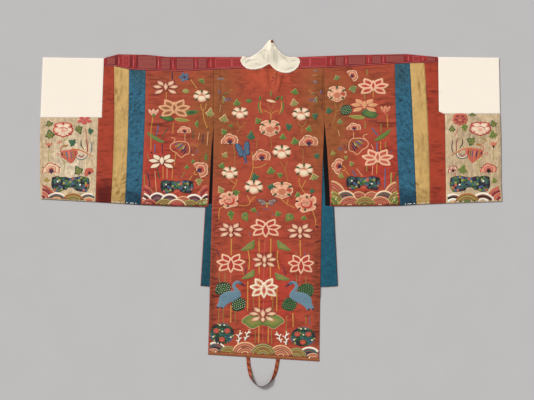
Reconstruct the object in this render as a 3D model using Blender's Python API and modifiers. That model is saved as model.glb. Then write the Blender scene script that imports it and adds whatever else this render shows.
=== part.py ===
"""A Korean bridal robe laid flat with its back up, as one solid for each piece of cloth.

Sizes are in millimetres and are turned into metres where the meshes are made. X runs across the
sleeves, Y runs up the back towards the collar, and Z = 0 is the surface that the robe lies on.
Left and right are those of someone looking down on the robe with the collar at the top.
"""

import math
from collections import namedtuple

import bmesh
import bpy
from mathutils import Vector

MM = 0.001
ROBE = "bridal_robe"

# Walls and layers
FRONT_WALL = 1.2
LINING_WALL = 1.0
BACK_WALL = 1.5
BAND_WALL = 1.2
COVER_WALL = 1.4
COLLAR_WALL = 1.6
BINDING_WALL = 2.2
TAPE_WALL = 1.4
GAP = 0.3
LINING_HEIGHT = FRONT_WALL + GAP
SLEEVE_REST = 2.0
BODY_REST = LINING_HEIGHT + LINING_WALL + GAP

# The back rests on the lining inside BODY_HALF, and on the bare front outside REST_HALF
BODY_HALF = 262.0
REST_HALF = 340.0

# Main lines of the cut
COVER_LINE = {"left": 367.0, "right": 382.0}
COVER_ROW, CORNER_ROW = 0.6, 0.63
STEP_ROW = 0.597
CORNER_CUT = {"left": 0.0, "right": 20.0}
CORNER_HEIGHT = 10.0
CORNER_STOP = 0.1
FOLD_STOPS = [1.2, 1.4, 1.6, 1.8]
BAND_STEP = 27.0
SLIT_APEX = {"left": 332.0, "right": 351.0}
NECK_HALF = 92.5
NECK_POINT = 380.0
NECKBAND_WIDTH = 32.0
HEM_LEFT = (-241.0, -545.0)
HEM_SLOPE = -0.061
BINDING_WIDTH = 11.0
FRONT_HEM = {"side": -281.0, "slope": -0.06}
FRONT_FALL = (-300.0, -345.0)
FACING_FOOT = {"left": 37.0, "right": 29.0}
LINING_REACH = 58.0
LINING_TAB_TOP = 225.0
TAB_ROWS = [70.0, 110.0, 150.0, 190.0]
TAB_REACH, TAB_START = 14.0, 255.0
NECKBAND_ROWS = (384.0, 442.0, 500.0, 554.0, 598.0)
FACING_UNDER_SLEEVE = 9.0
FACING_UNDER_BACK = 12.0
FACING_ABOVE_SLIT = 14.0
LINING_TAB_UNDER_BACK = 14.0
LINING_INSET = 1.5
COLLAR_REST = 0.35
TAPE_WIDTH = 14.0
TAPE_TWIST = math.radians(80.0)
FLAT_ENDS, FULL_TURN = 1.2, 4.2

Seam = namedtuple("Seam", "top middle foot")
Spot = namedtuple("Spot", "x y")
Fold = namedtuple("Fold", "x y half_length half_width height lean")
Section = namedtuple("Section", "x top foot")
NeckRow = namedtuple("NeckRow", "y left right")

# Where each lengthwise sleeve seam crosses SEAM_TOP, SEAM_MIDDLE and SEAM_FOOT
SEAM_TOP, SEAM_MIDDLE, SEAM_FOOT = 560.0, 300.0, 40.0
SEAMS = {
    "left": {
        "cover": Seam(-644.0, -653.0, -662.0),
        "cuff": Seam(-659.0, -667.0, -676.0),
        "red": Seam(-604.0, -605.0, -616.0),
        "yellow": Seam(-546.0, -551.0, -562.0),
        "blue": Seam(-482.0, -488.0, -501.0),
    },
    "right": {
        "cover": Seam(644.0, 647.0, 650.0),
        "cuff": Seam(666.0, 671.0, 674.0),
        "red": Seam(592.0, 607.0, 612.0),
        "yellow": Seam(536.0, 549.0, 560.0),
        "blue": Seam(477.0, 484.0, 497.0),
    },
}

# Edges that are read by height: x at each y
OUTER_EDGE = {
    "left": (Spot(-878, 602), Spot(-886, 400), Spot(-890, 300), Spot(-890, 120), Spot(-886, 54)),
    "right": (Spot(878, 602), Spot(882, 400), Spot(886, 300), Spot(887, 120), Spot(890, 45)),
}
BACK_SIDE = {
    "left": (Spot(-220, 560), Spot(-220, 332), Spot(-224, 128), Spot(-228, 0), Spot(-243, -560)),
    "right": (Spot(206, 560), Spot(206, 351), Spot(197, 128), Spot(194, 0), Spot(186, -570)),
}
SLEEVE_SIDE = {
    "left": (Spot(-220, 560), Spot(-220, 332), Spot(-229, 243), Spot(-235, 128), Spot(-241, 24)),
    "right": (Spot(206, 560), Spot(206, 351), Spot(216, 243), Spot(223, 128), Spot(228, 27)),
}
FRONT_SIDE = {
    "left": (Spot(-220, 560), Spot(-254, 24), Spot(-272, -281)),
    "right": (Spot(206, 560), Spot(243, 24), Spot(258, -277)),
}

# Edges that are read across: y at each x
SHOULDER = (
    Spot(-890, 600), Spot(-646, 596), Spot(-590, 612), Spot(-480, 610), Spot(-400, 602),
    Spot(100, 601), Spot(300, 609), Spot(520, 613), Spot(646, 601), Spot(890, 598),
)
BAND_FOOT = (
    Spot(-646, 565), Spot(-604, 566), Spot(-546, 553), Spot(-482, 549), Spot(-351, 545),
    Spot(-220, 552), Spot(-92.5, 558), Spot(92.5, 556), Spot(206, 559), Spot(341, 566),
    Spot(477, 575), Spot(536, 577), Spot(592, 578), Spot(646, 578),
)
SLEEVE_HEM = (
    Spot(-890, 55), Spot(-676, 43), Spot(-562, 36), Spot(-501, 32), Spot(-371, 26), Spot(-241, 24),
    Spot(228, 27), Spot(362, 27), Spot(497, 29), Spot(560, 33), Spot(674, 38), Spot(890, 45),
)

COLLAR = (
    Section(-117.5, 592, 583), Section(-108, 606, 568), Section(-94, 599, 557),
    Section(-80, 601, 553), Section(-58, 613, 553), Section(-35, 631, 558),
    Section(-19, 652, 567), Section(-8, 665, 573), Section(-3, 667.5, 572),
    Section(3, 668, 565), Section(9, 659, 558), Section(23, 635, 548),
    Section(42, 613, 541), Section(58, 604, 539), Section(73, 601, 541),
    Section(92, 601, 550), Section(105, 598, 563), Section(111.5, 590, 580),
)
RIDGE_TIP, RIDGE_NOTCH = Spot(2, 668), Spot(-8, 572)
RIDGE_HEIGHT = 4.0
COLLAR_FALL = 2.3
LOBES = (Spot(-66, 580), Spot(62, 570))
LOBE_HEIGHT, LOBE_HALF = 2.2, 45.0
MOUTH = Spot(3.5, 660.5)
MOUTH_HALF_WIDTH, MOUTH_HALF_LENGTH, MOUTH_WALL = 4.0, 5.5, 1.0
NECK_ROWS = (
    NeckRow(600, -92, 92), NeckRow(604, -70, 52), NeckRow(613, -50, 34),
    NeckRow(632, -27, 17), NeckRow(650, -13, 7), NeckRow(657, -8, 2),
)

# The main creases, as soft ridges that lean from the X axis by an angle in degrees
FOLDS = (
    Fold(-432, 346, 78, 15, 2.2, -4),
    Fold(436, 347, 84, 15, 2.4, 3),
    Fold(-640, 134, 34, 15, 1.6, 0),
    Fold(642, 100, 34, 15, 1.5, -4),
    Fold(626, 470, 34, 15, 1.5, -6),
    Fold(524, 176, 34, 15, 1.4, 14),
    Fold(-390, 505, 110, 20, 1.4, -8),
    Fold(395, 480, 110, 20, 1.4, 9),
    Fold(28, 492, 70, 24, 2.2, 78),
    Fold(-22, 505, 55, 22, 1.6, 96),
    Fold(-176, 450, 110, 24, 1.8, 91),
    Fold(168, 455, 120, 26, 1.8, 88),
    Fold(-120, 40, 110, 26, 1.4, 4),
    Fold(90, -140, 120, 28, 1.6, -5),
    Fold(-100, -250, 120, 26, 1.4, 6),
    Fold(60, -420, 130, 26, 1.8, 3),
)

LOOP_ROUTE = (
    Spot(-88.6, -554.8), Spot(-86.5, -580), Spot(-82.5, -606), Spot(-77, -632), Spot(-62, -656),
    Spot(-37, -667.2), Spot(-12, -657), Spot(6, -638), Spot(16, -614), Spot(22, -590),
    Spot(26.5, -561.8),
)

Colour = namedtuple("Colour", "red green blue roughness")
RED_SILK = Colour(0.42, 0.075, 0.035, 0.55)
STRIP_RED = Colour(0.36, 0.06, 0.035, 0.55)
CRIMSON = Colour(0.30, 0.03, 0.04, 0.6)
YELLOW_SILK = Colour(0.60, 0.40, 0.13, 0.6)
BLUE_SILK = Colour(0.06, 0.16, 0.24, 0.6)
TEAL_LINING = Colour(0.03, 0.15, 0.20, 0.65)
CREAM_SILK = Colour(0.72, 0.56, 0.36, 0.6)
WHITE_COTTON = Colour(0.84, 0.78, 0.68, 0.8)
IVORY = Colour(0.80, 0.74, 0.62, 0.7)
NAVY = Colour(0.012, 0.012, 0.018, 0.7)
ORANGE_TAPE = Colour(0.42, 0.13, 0.05, 0.6)


def blend(a, b, share):
    return a + (b - a) * share


def smooth(low, high, value):
    """0 at low and 1 at high, with soft ends. low may be above high."""
    share = min(max((value - low) / (high - low), 0.0), 1.0)
    return share * share * (3.0 - 2.0 * share)


def stops(first, last, count):
    """count even intervals from first to last, as a list of their ends."""
    return [blend(first, last, i / count) for i in range(count + 1)]


def edge_x(spots, y):
    """x of an edge at the height y, straight between its spots, which run downwards."""
    for upper, lower in zip(spots, spots[1:]):
        if y >= lower.y:
            break
    return blend(upper.x, lower.x, (y - upper.y) / (lower.y - upper.y))


def edge_y(spots, x):
    """y of an edge at x, straight between its spots, which run to the right."""
    for near, far in zip(spots, spots[1:]):
        if x <= far.x:
            break
    return blend(near.y, far.y, (x - near.x) / (far.x - near.x))


def seam_x(seam, y):
    """x of a sleeve seam at the height y, on the parabola through its three places."""
    t = (SEAM_TOP - y) / (SEAM_TOP - SEAM_FOOT)
    at_top = (1 - t) * (1 - 2 * t)
    at_middle = 4 * t * (1 - t)
    at_foot = t * (2 * t - 1)
    return seam.top * at_top + seam.middle * at_middle + seam.foot * at_foot


def hem_y(x):
    """y of the back panel's hem at x."""
    return HEM_LEFT[1] + HEM_SLOPE * (x - HEM_LEFT[0])


def front_hem_y(x):
    """y of the front panels' hem at x, lowest at the centre."""
    return FRONT_HEM["side"] + FRONT_HEM["slope"] * (BODY_HALF - abs(x))


def fold_height(fold, x, y):
    lean = math.radians(fold.lean)
    along = (x - fold.x) * math.cos(lean) + (y - fold.y) * math.sin(lean)
    across = (y - fold.y) * math.cos(lean) - (x - fold.x) * math.sin(lean)
    ends = smooth(fold.half_length, 0.35 * fold.half_length, abs(along))
    return fold.height * ends * smooth(fold.half_width, 0.0, abs(across))


def back_height(x, y):
    """Height of the underside of the upper layer, which lies on the front and its lining."""
    rest = blend(BODY_REST, SLEEVE_REST, smooth(BODY_HALF, REST_HALF, abs(x)))
    if abs(x) < BODY_HALF:
        rest *= 1.0 - smooth(FRONT_FALL[0], FRONT_FALL[1], y)
    return rest + sum(fold_height(fold, x, y) for fold in FOLDS)


def cloth_material(name, colour):
    material = bpy.data.materials.new(name)
    material.use_nodes = True
    shader = material.node_tree.nodes["Principled BSDF"]
    shader.inputs["Base Color"].default_value = (colour.red, colour.green, colour.blue, 1.0)
    shader.inputs["Roughness"].default_value = colour.roughness
    shader.inputs["Metallic"].default_value = 0.0
    return material


def add_cloth(name, colour, across, along, place, wall, offset=1.0):
    """Makes one piece: a grid whose points are placed by place(u, w), thickened by Solidify.

    across and along hold the values of u and w at the grid's columns and rows.
    """
    columns, rows = len(across) - 1, len(along) - 1
    sheet = bmesh.new()
    bmesh.ops.create_grid(sheet, x_segments=columns, y_segments=rows, size=0.5)
    for vert in sheet.verts:
        u = across[round((vert.co.x + 0.5) * columns)]
        w = along[round((vert.co.y + 0.5) * rows)]
        vert.co = Vector(place(u, w)) * MM
    mesh = bpy.data.meshes.new(name)
    sheet.to_mesh(mesh)
    sheet.free()
    mesh.shade_smooth()
    mesh.materials.append(cloth_material(name, colour))
    piece = bpy.data.objects.new(name, mesh)
    robe.objects.link(piece)
    shell = piece.modifiers.new("wall", "SOLIDIFY")
    shell.thickness = wall * MM
    shell.offset = offset
    return piece


def sleeve_y(side, x, w):
    """Height of row w of a sleeve at x: the hem at 0, the cover's line at COVER_ROW, the top of
    the cover's cut corner at CORNER_ROW and the band at 1."""
    line = COVER_LINE[side] - GAP / 2
    corner = COVER_LINE[side] + CORNER_HEIGHT
    if w <= COVER_ROW:
        return blend(edge_y(SLEEVE_HEM, x), line, w / COVER_ROW)
    if w <= CORNER_ROW:
        return blend(line, corner, (w - COVER_ROW) / (CORNER_ROW - COVER_ROW))
    return blend(corner, edge_y(BAND_FOOT, x) - GAP / 2, (w - CORNER_ROW) / (1 - CORNER_ROW))


def cover_x(side, y):
    """x of the red strip's edge along a cover at y. The cover's lower corner is cut off."""
    sign = math.copysign(1.0, SEAMS[side]["cover"].top)
    lift = min(max((y - COVER_LINE[side]) / CORNER_HEIGHT, 0.0), 1.0)
    return seam_x(SEAMS[side]["cover"], y) + sign * CORNER_CUT[side] * (1.0 - lift)


def red_outer_x(side, y, w):
    """x of the red strip's outer edge, which steps in above the cuff to follow the cover."""
    return cover_x(side, y) if w >= COVER_ROW else seam_x(SEAMS[side]["cuff"], y)


def sleeve_edges(side, strip, layer):
    """The strip's two edges from left to right, each as a function of (y, w)."""
    seams = SEAMS[side]
    body_edge = (SLEEVE_SIDE if layer == "back" else FRONT_SIDE)[side]
    edges = {
        "panel": (lambda y, w: seam_x(seams["blue"], y), lambda y, w: edge_x(body_edge, y)),
        "blue_strip": (lambda y, w: seam_x(seams["yellow"], y), lambda y, w: seam_x(seams["blue"], y)),
        "yellow_strip": (lambda y, w: seam_x(seams["red"], y), lambda y, w: seam_x(seams["yellow"], y)),
        "red_strip": (lambda y, w: red_outer_x(side, y, w), lambda y, w: seam_x(seams["red"], y)),
        "cuff": (lambda y, w: edge_x(OUTER_EDGE[side], y), lambda y, w: seam_x(seams["cuff"], y)),
    }[strip]
    return edges if side == "left" else edges[::-1]


def add_sleeve_piece(side, strip, layer, colour, across, along):
    """One strip of one layer of a sleeve, between its two seams and its hem and upper edge."""
    left_edge, right_edge = sleeve_edges(side, strip, layer)

    def edge_at(edge, w):
        x = edge(COVER_LINE[side], w)
        for _ in range(4):
            x = edge(sleeve_y(side, x, w), w)
        return x

    def place(u, w):
        x = blend(edge_at(left_edge, w) + GAP / 2, edge_at(right_edge, w) - GAP / 2, u)
        y = sleeve_y(side, x, w)
        return x, y, back_height(x, y) if layer == "back" else 0.0

    wall = BACK_WALL if layer == "back" else FRONT_WALL
    return add_cloth(f"sleeve_{strip}_{layer}_{side}", colour, across, along, place, wall)


def add_sleeve(side):
    """The five strips of a sleeve, each once in the upper layer and once in the lower."""
    upper = stops(0.0, 0.54, 9) + [0.57, STEP_ROW, COVER_ROW] + stops(CORNER_ROW, 1.0, 6)
    lower = stops(0.0, 0.48, 3) + [STEP_ROW, COVER_ROW] + stops(CORNER_ROW, 1.0, 2)
    strips = (
        ("panel", RED_SILK, 8),
        ("blue_strip", BLUE_SILK, 3),
        ("yellow_strip", YELLOW_SILK, 3),
        ("red_strip", STRIP_RED, 3),
        ("cuff", CREAM_SILK, 7),
    )
    for strip, colour, columns in strips:
        rows = [w for w in upper if strip != "cuff" or w <= COVER_ROW]
        add_sleeve_piece(side, strip, "back", colour, stops(0.0, 1.0, columns), rows)
        rows = [w for w in lower if strip != "cuff" or w <= COVER_ROW]
        add_sleeve_piece(side, strip, "front", colour, [0.0, 0.5, 1.0], rows)


def wrap_point(x, s, fold_y, foot_y):
    """A point of a piece folded over the shoulder: s is 0 at its lower foot under the robe,
    1 to 2 round the fold, and 3 at its foot on top."""
    radius = (back_height(x, fold_y) + BACK_WALL) / 2
    crest = fold_y - radius
    if 1.0 < s < 2.0:
        turn = (s - 1.0) * math.pi
        return x, crest + radius * math.sin(turn), radius - radius * math.cos(turn)
    rise = s if s <= 1.0 else 3.0 - s
    corner = foot_y + CORNER_HEIGHT
    if rise <= CORNER_STOP:
        y = blend(foot_y, corner, rise / CORNER_STOP)
    else:
        y = blend(corner, crest, (rise - CORNER_STOP) / (1.0 - CORNER_STOP))
    if s <= 1.0:
        return x, y, 0.0
    return x, y, blend(2 * radius, back_height(x, y) + BACK_WALL, smooth(2.0, 2.5, s))


def add_band(side):
    """Half of the patterned band that wraps the shoulder, from the neck to the cover."""
    seam = SEAMS[side]["cover"]
    sign = math.copysign(1.0, seam.top)
    kinks = [spot.x for spot in BAND_FOOT if abs(spot.x) >= NECK_HALF and spot.x * sign > 0]
    across = []
    for near, far in zip(kinks, kinks[1:]):
        across += stops(near, far, max(1, round((far - near) / BAND_STEP)))[:-1]
    across.append(kinks[-1])

    def place(u, s):
        foot_y = edge_y(BAND_FOOT, u) + GAP / 2
        _, y, z = wrap_point(u, s, edge_y(SHOULDER, u), foot_y)
        neck = sign * (NECK_HALF + GAP / 2)
        cover = seam_x(seam, y) - sign * GAP / 2
        return min(max(u, min(neck, cover)), max(neck, cover)), y, z

    along = [0.0, 1.0] + FOLD_STOPS + [2.0, 2.5, 3.0]
    return add_cloth(f"shoulder_band_{side}", CRIMSON, across, along, place, BAND_WALL)


def add_cover(side):
    """The plain white cover that wraps the upper half of the sleeve's end."""

    def place(u, s):
        outer = edge_x(OUTER_EDGE[side], COVER_LINE[side])
        inner = cover_x(side, SEAM_TOP)
        x = blend(*((outer, inner) if side == "left" else (inner, outer)), u)
        foot_y = COVER_LINE[side] + GAP / 2
        fold_y = edge_y(SHOULDER, x)
        x, y, z = wrap_point(x, s, fold_y, foot_y)
        outer = edge_x(OUTER_EDGE[side], min(y, OUTER_EDGE[side][0].y))
        inner = cover_x(side, y) + math.copysign(2 * GAP, outer)
        return blend(*((outer, inner) if side == "left" else (inner, outer)), u), y, z

    low = [0.0, CORNER_STOP, 0.5, 1.0]
    high = [2.0, 2.25, 2.5, 2.75, 3.0 - CORNER_STOP, 3.0]
    return add_cloth(
        f"cuff_cover_{side}", WHITE_COTTON, stops(0.0, 1.0, 8), low + FOLD_STOPS + high, place, COVER_WALL
    )


def add_back_panel():
    """The embroidered back, from the shoulder band to the hem's binding."""

    def place(u, w):
        foot = hem_y(blend(BACK_SIDE["left"][-1].x, BACK_SIDE["right"][-1].x, u))
        head = edge_y(BAND_FOOT, blend(BACK_SIDE["left"][0].x, BACK_SIDE["right"][0].x, u))
        y = blend(foot + BINDING_WIDTH + GAP / 2, head - GAP / 2, w)
        left_x = edge_x(BACK_SIDE["left"], y) + GAP / 2
        right_x = edge_x(BACK_SIDE["right"], y) - GAP / 2
        x = blend(left_x, right_x, u)
        return x, y, back_height(x, y)

    left, right = BACK_SIDE["left"][0].x, BACK_SIDE["right"][0].x
    neck_left, neck_right = ((x - left) / (right - left) for x in (-NECK_HALF, NECK_HALF))
    across = stops(0.0, neck_left, 4)[:-1] + stops(neck_left, neck_right, 6) + stops(neck_right, 1.0, 3)[1:]
    return add_cloth("back_panel", RED_SILK, across, stops(0.0, 1.0, 34), place, BACK_WALL)


def add_hem_binding():
    """The bound strip along the back's hem."""

    def place(u, w):
        foot = hem_y(blend(BACK_SIDE["left"][-1].x, BACK_SIDE["right"][-1].x, u))
        y = blend(foot, foot + BINDING_WIDTH - GAP / 2, w)
        left_x, right_x = edge_x(BACK_SIDE["left"], y), edge_x(BACK_SIDE["right"], y)
        return blend(left_x + GAP / 2, right_x - GAP / 2, u), y, 0.0

    return add_cloth("hem_binding", ORANGE_TAPE, stops(0.0, 1.0, 12), [0.0, 0.5, 1.0], place, BINDING_WALL)


def front_panel_x(side, y):
    """x of a front panel's inner edge: the sloping neckline, then the centre line."""
    sign = math.copysign(1.0, FRONT_SIDE[side][0].x)
    head = edge_y(BAND_FOOT, sign * NECK_HALF)
    slope = NECK_HALF * (y - NECK_POINT) / (head - NECK_POINT)
    return sign * (max(min(slope, NECK_HALF), 0.0) + GAP / 2)


def add_front_panel(side):
    """A plain front panel, face down on the surface under the back."""
    sign = math.copysign(1.0, FRONT_SIDE[side][0].x)

    def place(u, w):
        inward = u if side == "left" else 1.0 - u
        reach = blend(abs(FRONT_SIDE[side][-1].x), 0.0, inward)
        neck_reach = blend(abs(FRONT_SIDE[side][0].x), NECK_HALF, inward)
        foot = front_hem_y(sign * reach)
        head = edge_y(BAND_FOOT, sign * neck_reach) - GAP / 2
        y = blend(foot, NECK_POINT, w) if w <= 1.0 else blend(NECK_POINT, head, w - 1.0)
        outer = edge_x(FRONT_SIDE[side], y) - sign * GAP / 2
        return blend(outer, front_panel_x(side, y), inward), y, 0.0

    along = stops(0.0, 1.0, 6) + [1.5, 2.0]
    return add_cloth(f"front_panel_{side}", RED_SILK, stops(0.0, 1.0, 4), along, place, FRONT_WALL)


def add_front_neckband(side):
    """The plain band that edges one side of the front neckline."""
    sign = math.copysign(1.0, FRONT_SIDE[side][0].x)

    def place(u, w):
        y = NECKBAND_ROWS[int(w)]
        outer = front_panel_x(side, y) - sign * GAP
        inner = sign * max(abs(outer) - NECKBAND_WIDTH, GAP / 2)
        left, right = (outer, inner) if side == "left" else (inner, outer)
        return blend(left, right, u), y, 0.0

    rows = list(range(len(NECKBAND_ROWS)))
    return add_cloth(f"neckband_front_{side}", STRIP_RED, [0.0, 1.0], rows, place, FRONT_WALL)


def facing_inner_x(side, y):
    """x of the slit facing's edge towards the centre back."""
    if side == "left":
        return edge_x(BACK_SIDE[side], y) + FACING_UNDER_BACK
    return edge_x(BACK_SIDE[side], y) + TAB_REACH * smooth(TAB_START, FACING_FOOT[side], y)


def add_slit_facing(side):
    """The dark facing that shows through the slit between the back and a sleeve."""
    sign = math.copysign(1.0, FRONT_SIDE[side][0].x)
    heights = [FACING_FOOT[side]] + TAB_ROWS + stops(LINING_TAB_TOP, SLIT_APEX[side] + FACING_ABOVE_SLIT, 4)

    def place(u, w):
        y = heights[int(w)]
        outer = edge_x(SLEEVE_SIDE[side], y) + sign * FACING_UNDER_SLEEVE
        inner = facing_inner_x(side, y)
        left, right = (outer, inner) if side == "left" else (inner, outer)
        return blend(left, right, u), y, LINING_HEIGHT

    rows = list(range(len(heights)))
    return add_cloth(f"slit_facing_{side}", NAVY, [0.0, 1.0], rows, place, LINING_WALL)


def lining_rows(side):
    """Rows of a front lining from its foot up, as (y, inner x, outer x)."""
    sign = math.copysign(1.0, FRONT_SIDE[side][0].x)
    head = FACING_FOOT[side] - GAP
    rows = []
    for y in stops(FRONT_HEM["side"], head - 1.0, 8):
        inner = edge_x(BACK_SIDE[side], y) - sign * LINING_REACH
        rows.append((y, inner, edge_x(FRONT_SIDE[side], y) - sign * LINING_INSET))
    if side == "right":
        for y in [head] + TAB_ROWS + [LINING_TAB_TOP]:
            inner = edge_x(BACK_SIDE[side], y) - LINING_TAB_UNDER_BACK
            rows.append((y, inner, facing_inner_x(side, y) - GAP))
    return rows


def add_front_lining(side):
    """The blue lining of a front panel, where it shows beside and just under the back.

    On the right a narrow tab of it runs up into the slit.
    """
    rows = lining_rows(side)

    def place(u, w):
        y, inner, outer = rows[int(w)]
        x = blend(outer, inner, u) if side == "left" else blend(inner, outer, u)
        return x, front_hem_y(x) + LINING_INSET if w == 0 else y, LINING_HEIGHT

    along = list(range(len(rows)))
    return add_cloth(f"front_lining_{side}", TEAL_LINING, stops(0.0, 1.0, 3), along, place, LINING_WALL)


def collar_section(x):
    """The collar's upper and lower edge at x."""
    for near, far in zip(COLLAR, COLLAR[1:]):
        if x <= far.x:
            break
    share = (x - near.x) / (far.x - near.x)
    return blend(near.top, far.top, share), blend(near.foot, far.foot, share)


def neck_fall(y):
    """How far the neckband and collar sink towards the surface past the shoulder."""
    return COLLAR_FALL * smooth(602.0, 655.0, y)


def collar_height(x, y):
    """Height of the collar's underside: on the robe, with a ridge from tip to notch and two lobes."""
    rest = back_height(x, y) + BACK_WALL + COLLAR_REST - neck_fall(y)
    share = (RIDGE_TIP.y - y) / (RIDGE_TIP.y - RIDGE_NOTCH.y)
    middle = blend(RIDGE_TIP.x, RIDGE_NOTCH.x, share)
    half = blend(12.0, 26.0, min(max(share, 0.0), 1.0))
    ridge = RIDGE_HEIGHT * smooth(half, 0.0, abs(x - middle)) * smooth(1.05, 0.6, share)
    lobes = sum(
        LOBE_HEIGHT * smooth(LOBE_HALF, 0.0, math.hypot(x - lobe.x, 1.7 * (y - lobe.y))) for lobe in LOBES
    )
    return rest + ridge + lobes


def add_collar():
    """The white two-lobed collar, rolled up to a tip beyond the shoulder."""
    across = []
    for near, far in zip(COLLAR, COLLAR[1:]):
        across += [near.x, (near.x + far.x) / 2]
    across.append(COLLAR[-1].x)

    def place(u, w):
        top, foot = collar_section(u)
        y = blend(foot, top, w)
        return u, y, collar_height(u, y)

    return add_cloth("collar", IVORY, across, stops(0.0, 1.0, 6), place, COLLAR_WALL)


def add_neckband_back():
    """The red neckband inside the collar, between the back panel and the collar's tip."""
    head = NECK_ROWS[0].y

    def place(u, w):
        if w <= 1.0:
            x = blend(NECK_ROWS[0].left, NECK_ROWS[0].right, u)
            y = blend(edge_y(BAND_FOOT, x) + GAP / 2, head, w)
        else:
            row = NECK_ROWS[int(w) - 1]
            x, y = blend(row.left, row.right, u), row.y
        return x, y, back_height(x, y) - neck_fall(y)

    rows = [0.0, 0.5] + list(range(1, len(NECK_ROWS) + 1))
    return add_cloth("neckband_back", STRIP_RED, stops(0.0, 1.0, 8), rows, place, BACK_WALL)


def add_collar_mouth():
    """The end of the neckband that shows in the mouth of the rolled tip."""

    def place(u, w):
        half = MOUTH_HALF_WIDTH * math.sqrt(max(1.0 - w * w, 0.09))
        x, y = MOUTH.x + u * half, MOUTH.y + w * MOUTH_HALF_LENGTH
        return x, y, collar_height(x, y) + COLLAR_WALL + COLLAR_REST

    return add_cloth(
        "collar_mouth", ORANGE_TAPE, stops(-1.0, 1.0, 4), stops(-1.0, 1.0, 6), place, MOUTH_WALL
    )


def route_point(route, t):
    """A point of the smooth curve through the route, at t intervals from its start."""
    i = min(int(t), len(route) - 2)
    t -= i
    before, start = route[max(i - 1, 0)], route[i]
    end, after = route[i + 1], route[min(i + 2, len(route) - 1)]

    def spline(a, b, c, d):
        return b + 0.5 * t * (c - a + t * (2 * a - 5 * b + 4 * c - d + t * (3 * (b - c) + d - a)))

    return Vector(
        (spline(before.x, start.x, end.x, after.x), spline(before.y, start.y, end.y, after.y), 0.0)
    )


def add_hem_loop():
    """The tape loop sewn to the hem. It lies flat at its ends and turns on edge at its far side."""
    last = len(LOOP_ROUTE) - 1

    def place(u, w):
        ahead, behind = min(w + 0.05, last), max(w - 0.05, 0.0)
        along = (route_point(LOOP_ROUTE, ahead) - route_point(LOOP_ROUTE, behind)).normalized()
        if w in (0, last):
            along = Vector((0.0, -1.0 if w == 0 else 1.0, 0.0))
        side = Vector((-along.y, along.x, 0.0))
        turned = smooth(FLAT_ENDS, FULL_TURN, min(w, last - w))
        twist = TAPE_TWIST * turned
        half = TAPE_WIDTH / 2
        rise = TAPE_WALL / 2 * math.cos(twist) + half * math.sin(twist)
        offset = side * math.cos(twist) + Vector((0.0, 0.0, math.sin(twist)))
        return route_point(LOOP_ROUTE, w) + u * half * offset + Vector((0.0, 0.0, rise))

    return add_cloth(
        "hem_loop", ORANGE_TAPE, [-1.0, 0.0, 1.0], stops(0.0, last, 40), place, TAPE_WALL, offset=0.0
    )


for old in list(bpy.data.objects):
    bpy.data.objects.remove(old, do_unlink=True)

robe = bpy.data.collections.new(ROBE)
bpy.context.scene.collection.children.link(robe)

for robe_side in ("left", "right"):
    add_sleeve(robe_side)
    add_cover(robe_side)
    add_band(robe_side)
    add_front_panel(robe_side)
    add_front_neckband(robe_side)
    add_slit_facing(robe_side)
    add_front_lining(robe_side)
add_back_panel()
add_hem_binding()
add_hem_loop()
add_neckband_back()
add_collar()
add_collar_mouth()
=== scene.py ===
"""The looks of a Korean bridal robe that lies flat with its back up.

Sizes and places are in millimetres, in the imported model's frame, and turn into metres where the meshes
are made. X runs across the sleeves, Y up the back towards the collar, and Z = 0 is the floor. Left and
right are those of someone looking down on the robe with the collar at the top.
"""

from __future__ import annotations

import logging
import math
from dataclasses import dataclass, field
from enum import Enum
from typing import Callable, NamedTuple

import bmesh
import bpy
import numpy as np
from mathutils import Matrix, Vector


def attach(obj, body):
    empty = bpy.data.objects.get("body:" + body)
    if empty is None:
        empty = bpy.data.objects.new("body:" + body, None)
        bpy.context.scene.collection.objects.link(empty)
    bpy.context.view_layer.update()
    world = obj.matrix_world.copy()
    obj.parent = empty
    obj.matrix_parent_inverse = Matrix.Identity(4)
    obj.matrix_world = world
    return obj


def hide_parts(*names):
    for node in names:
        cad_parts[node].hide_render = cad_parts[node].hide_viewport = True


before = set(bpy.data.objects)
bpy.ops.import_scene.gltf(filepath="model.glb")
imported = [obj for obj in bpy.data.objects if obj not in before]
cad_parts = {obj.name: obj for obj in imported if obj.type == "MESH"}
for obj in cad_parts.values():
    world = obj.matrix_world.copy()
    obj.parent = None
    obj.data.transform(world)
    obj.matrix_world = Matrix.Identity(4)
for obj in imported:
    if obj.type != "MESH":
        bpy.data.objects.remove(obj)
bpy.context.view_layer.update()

LOG = logging.getLogger("robe")
MM = 0.001
Numbers = np.ndarray
Path = np.ndarray
Socket = bpy.types.NodeSocket
Points = tuple[Numbers, Numbers, Numbers]
Place = Callable[[Numbers, Numbers], Points]
Dyer = Callable[[Numbers, Numbers, Numbers, Numbers], Numbers]

# Walls and layers
FRONT_WALL = 1.2
LINING_WALL = 1.0
BACK_WALL = 1.5
BAND_WALL = 1.2
COVER_WALL = 1.4
COLLAR_WALL = 1.6
BINDING_WALL = 2.2
TAPE_WALL = 1.4
GAP = 0.3
LINING_HEIGHT = FRONT_WALL + GAP
SLEEVE_REST = 2.0
BODY_REST = LINING_HEIGHT + LINING_WALL + GAP
BODY_HALF = 262.0
REST_HALF = 340.0

# How the cloth's edges turn down at a seam, and at a hem, where the two layers are sewn together
SEAM_DIP, SEAM_REACH = 0.5, 4.0
HEM_DIP, HEM_REACH = 1.1, 6.0
PITCH = 4.0


class Spot(NamedTuple):
    """A place on the robe, seen from above."""

    x: float
    y: float


class Side(Enum):
    """The two sides of the robe."""

    LEFT = "left"
    RIGHT = "right"

    @property
    def sign(self) -> float:
        """-1 on the left and 1 on the right."""
        return -1.0 if self is Side.LEFT else 1.0

    def pair(self, outer: Numbers, inner: Numbers) -> tuple[Numbers, Numbers]:
        """The outer and inner value in the order in which they come from left to right."""
        return (outer, inner) if self is Side.LEFT else (inner, outer)


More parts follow.
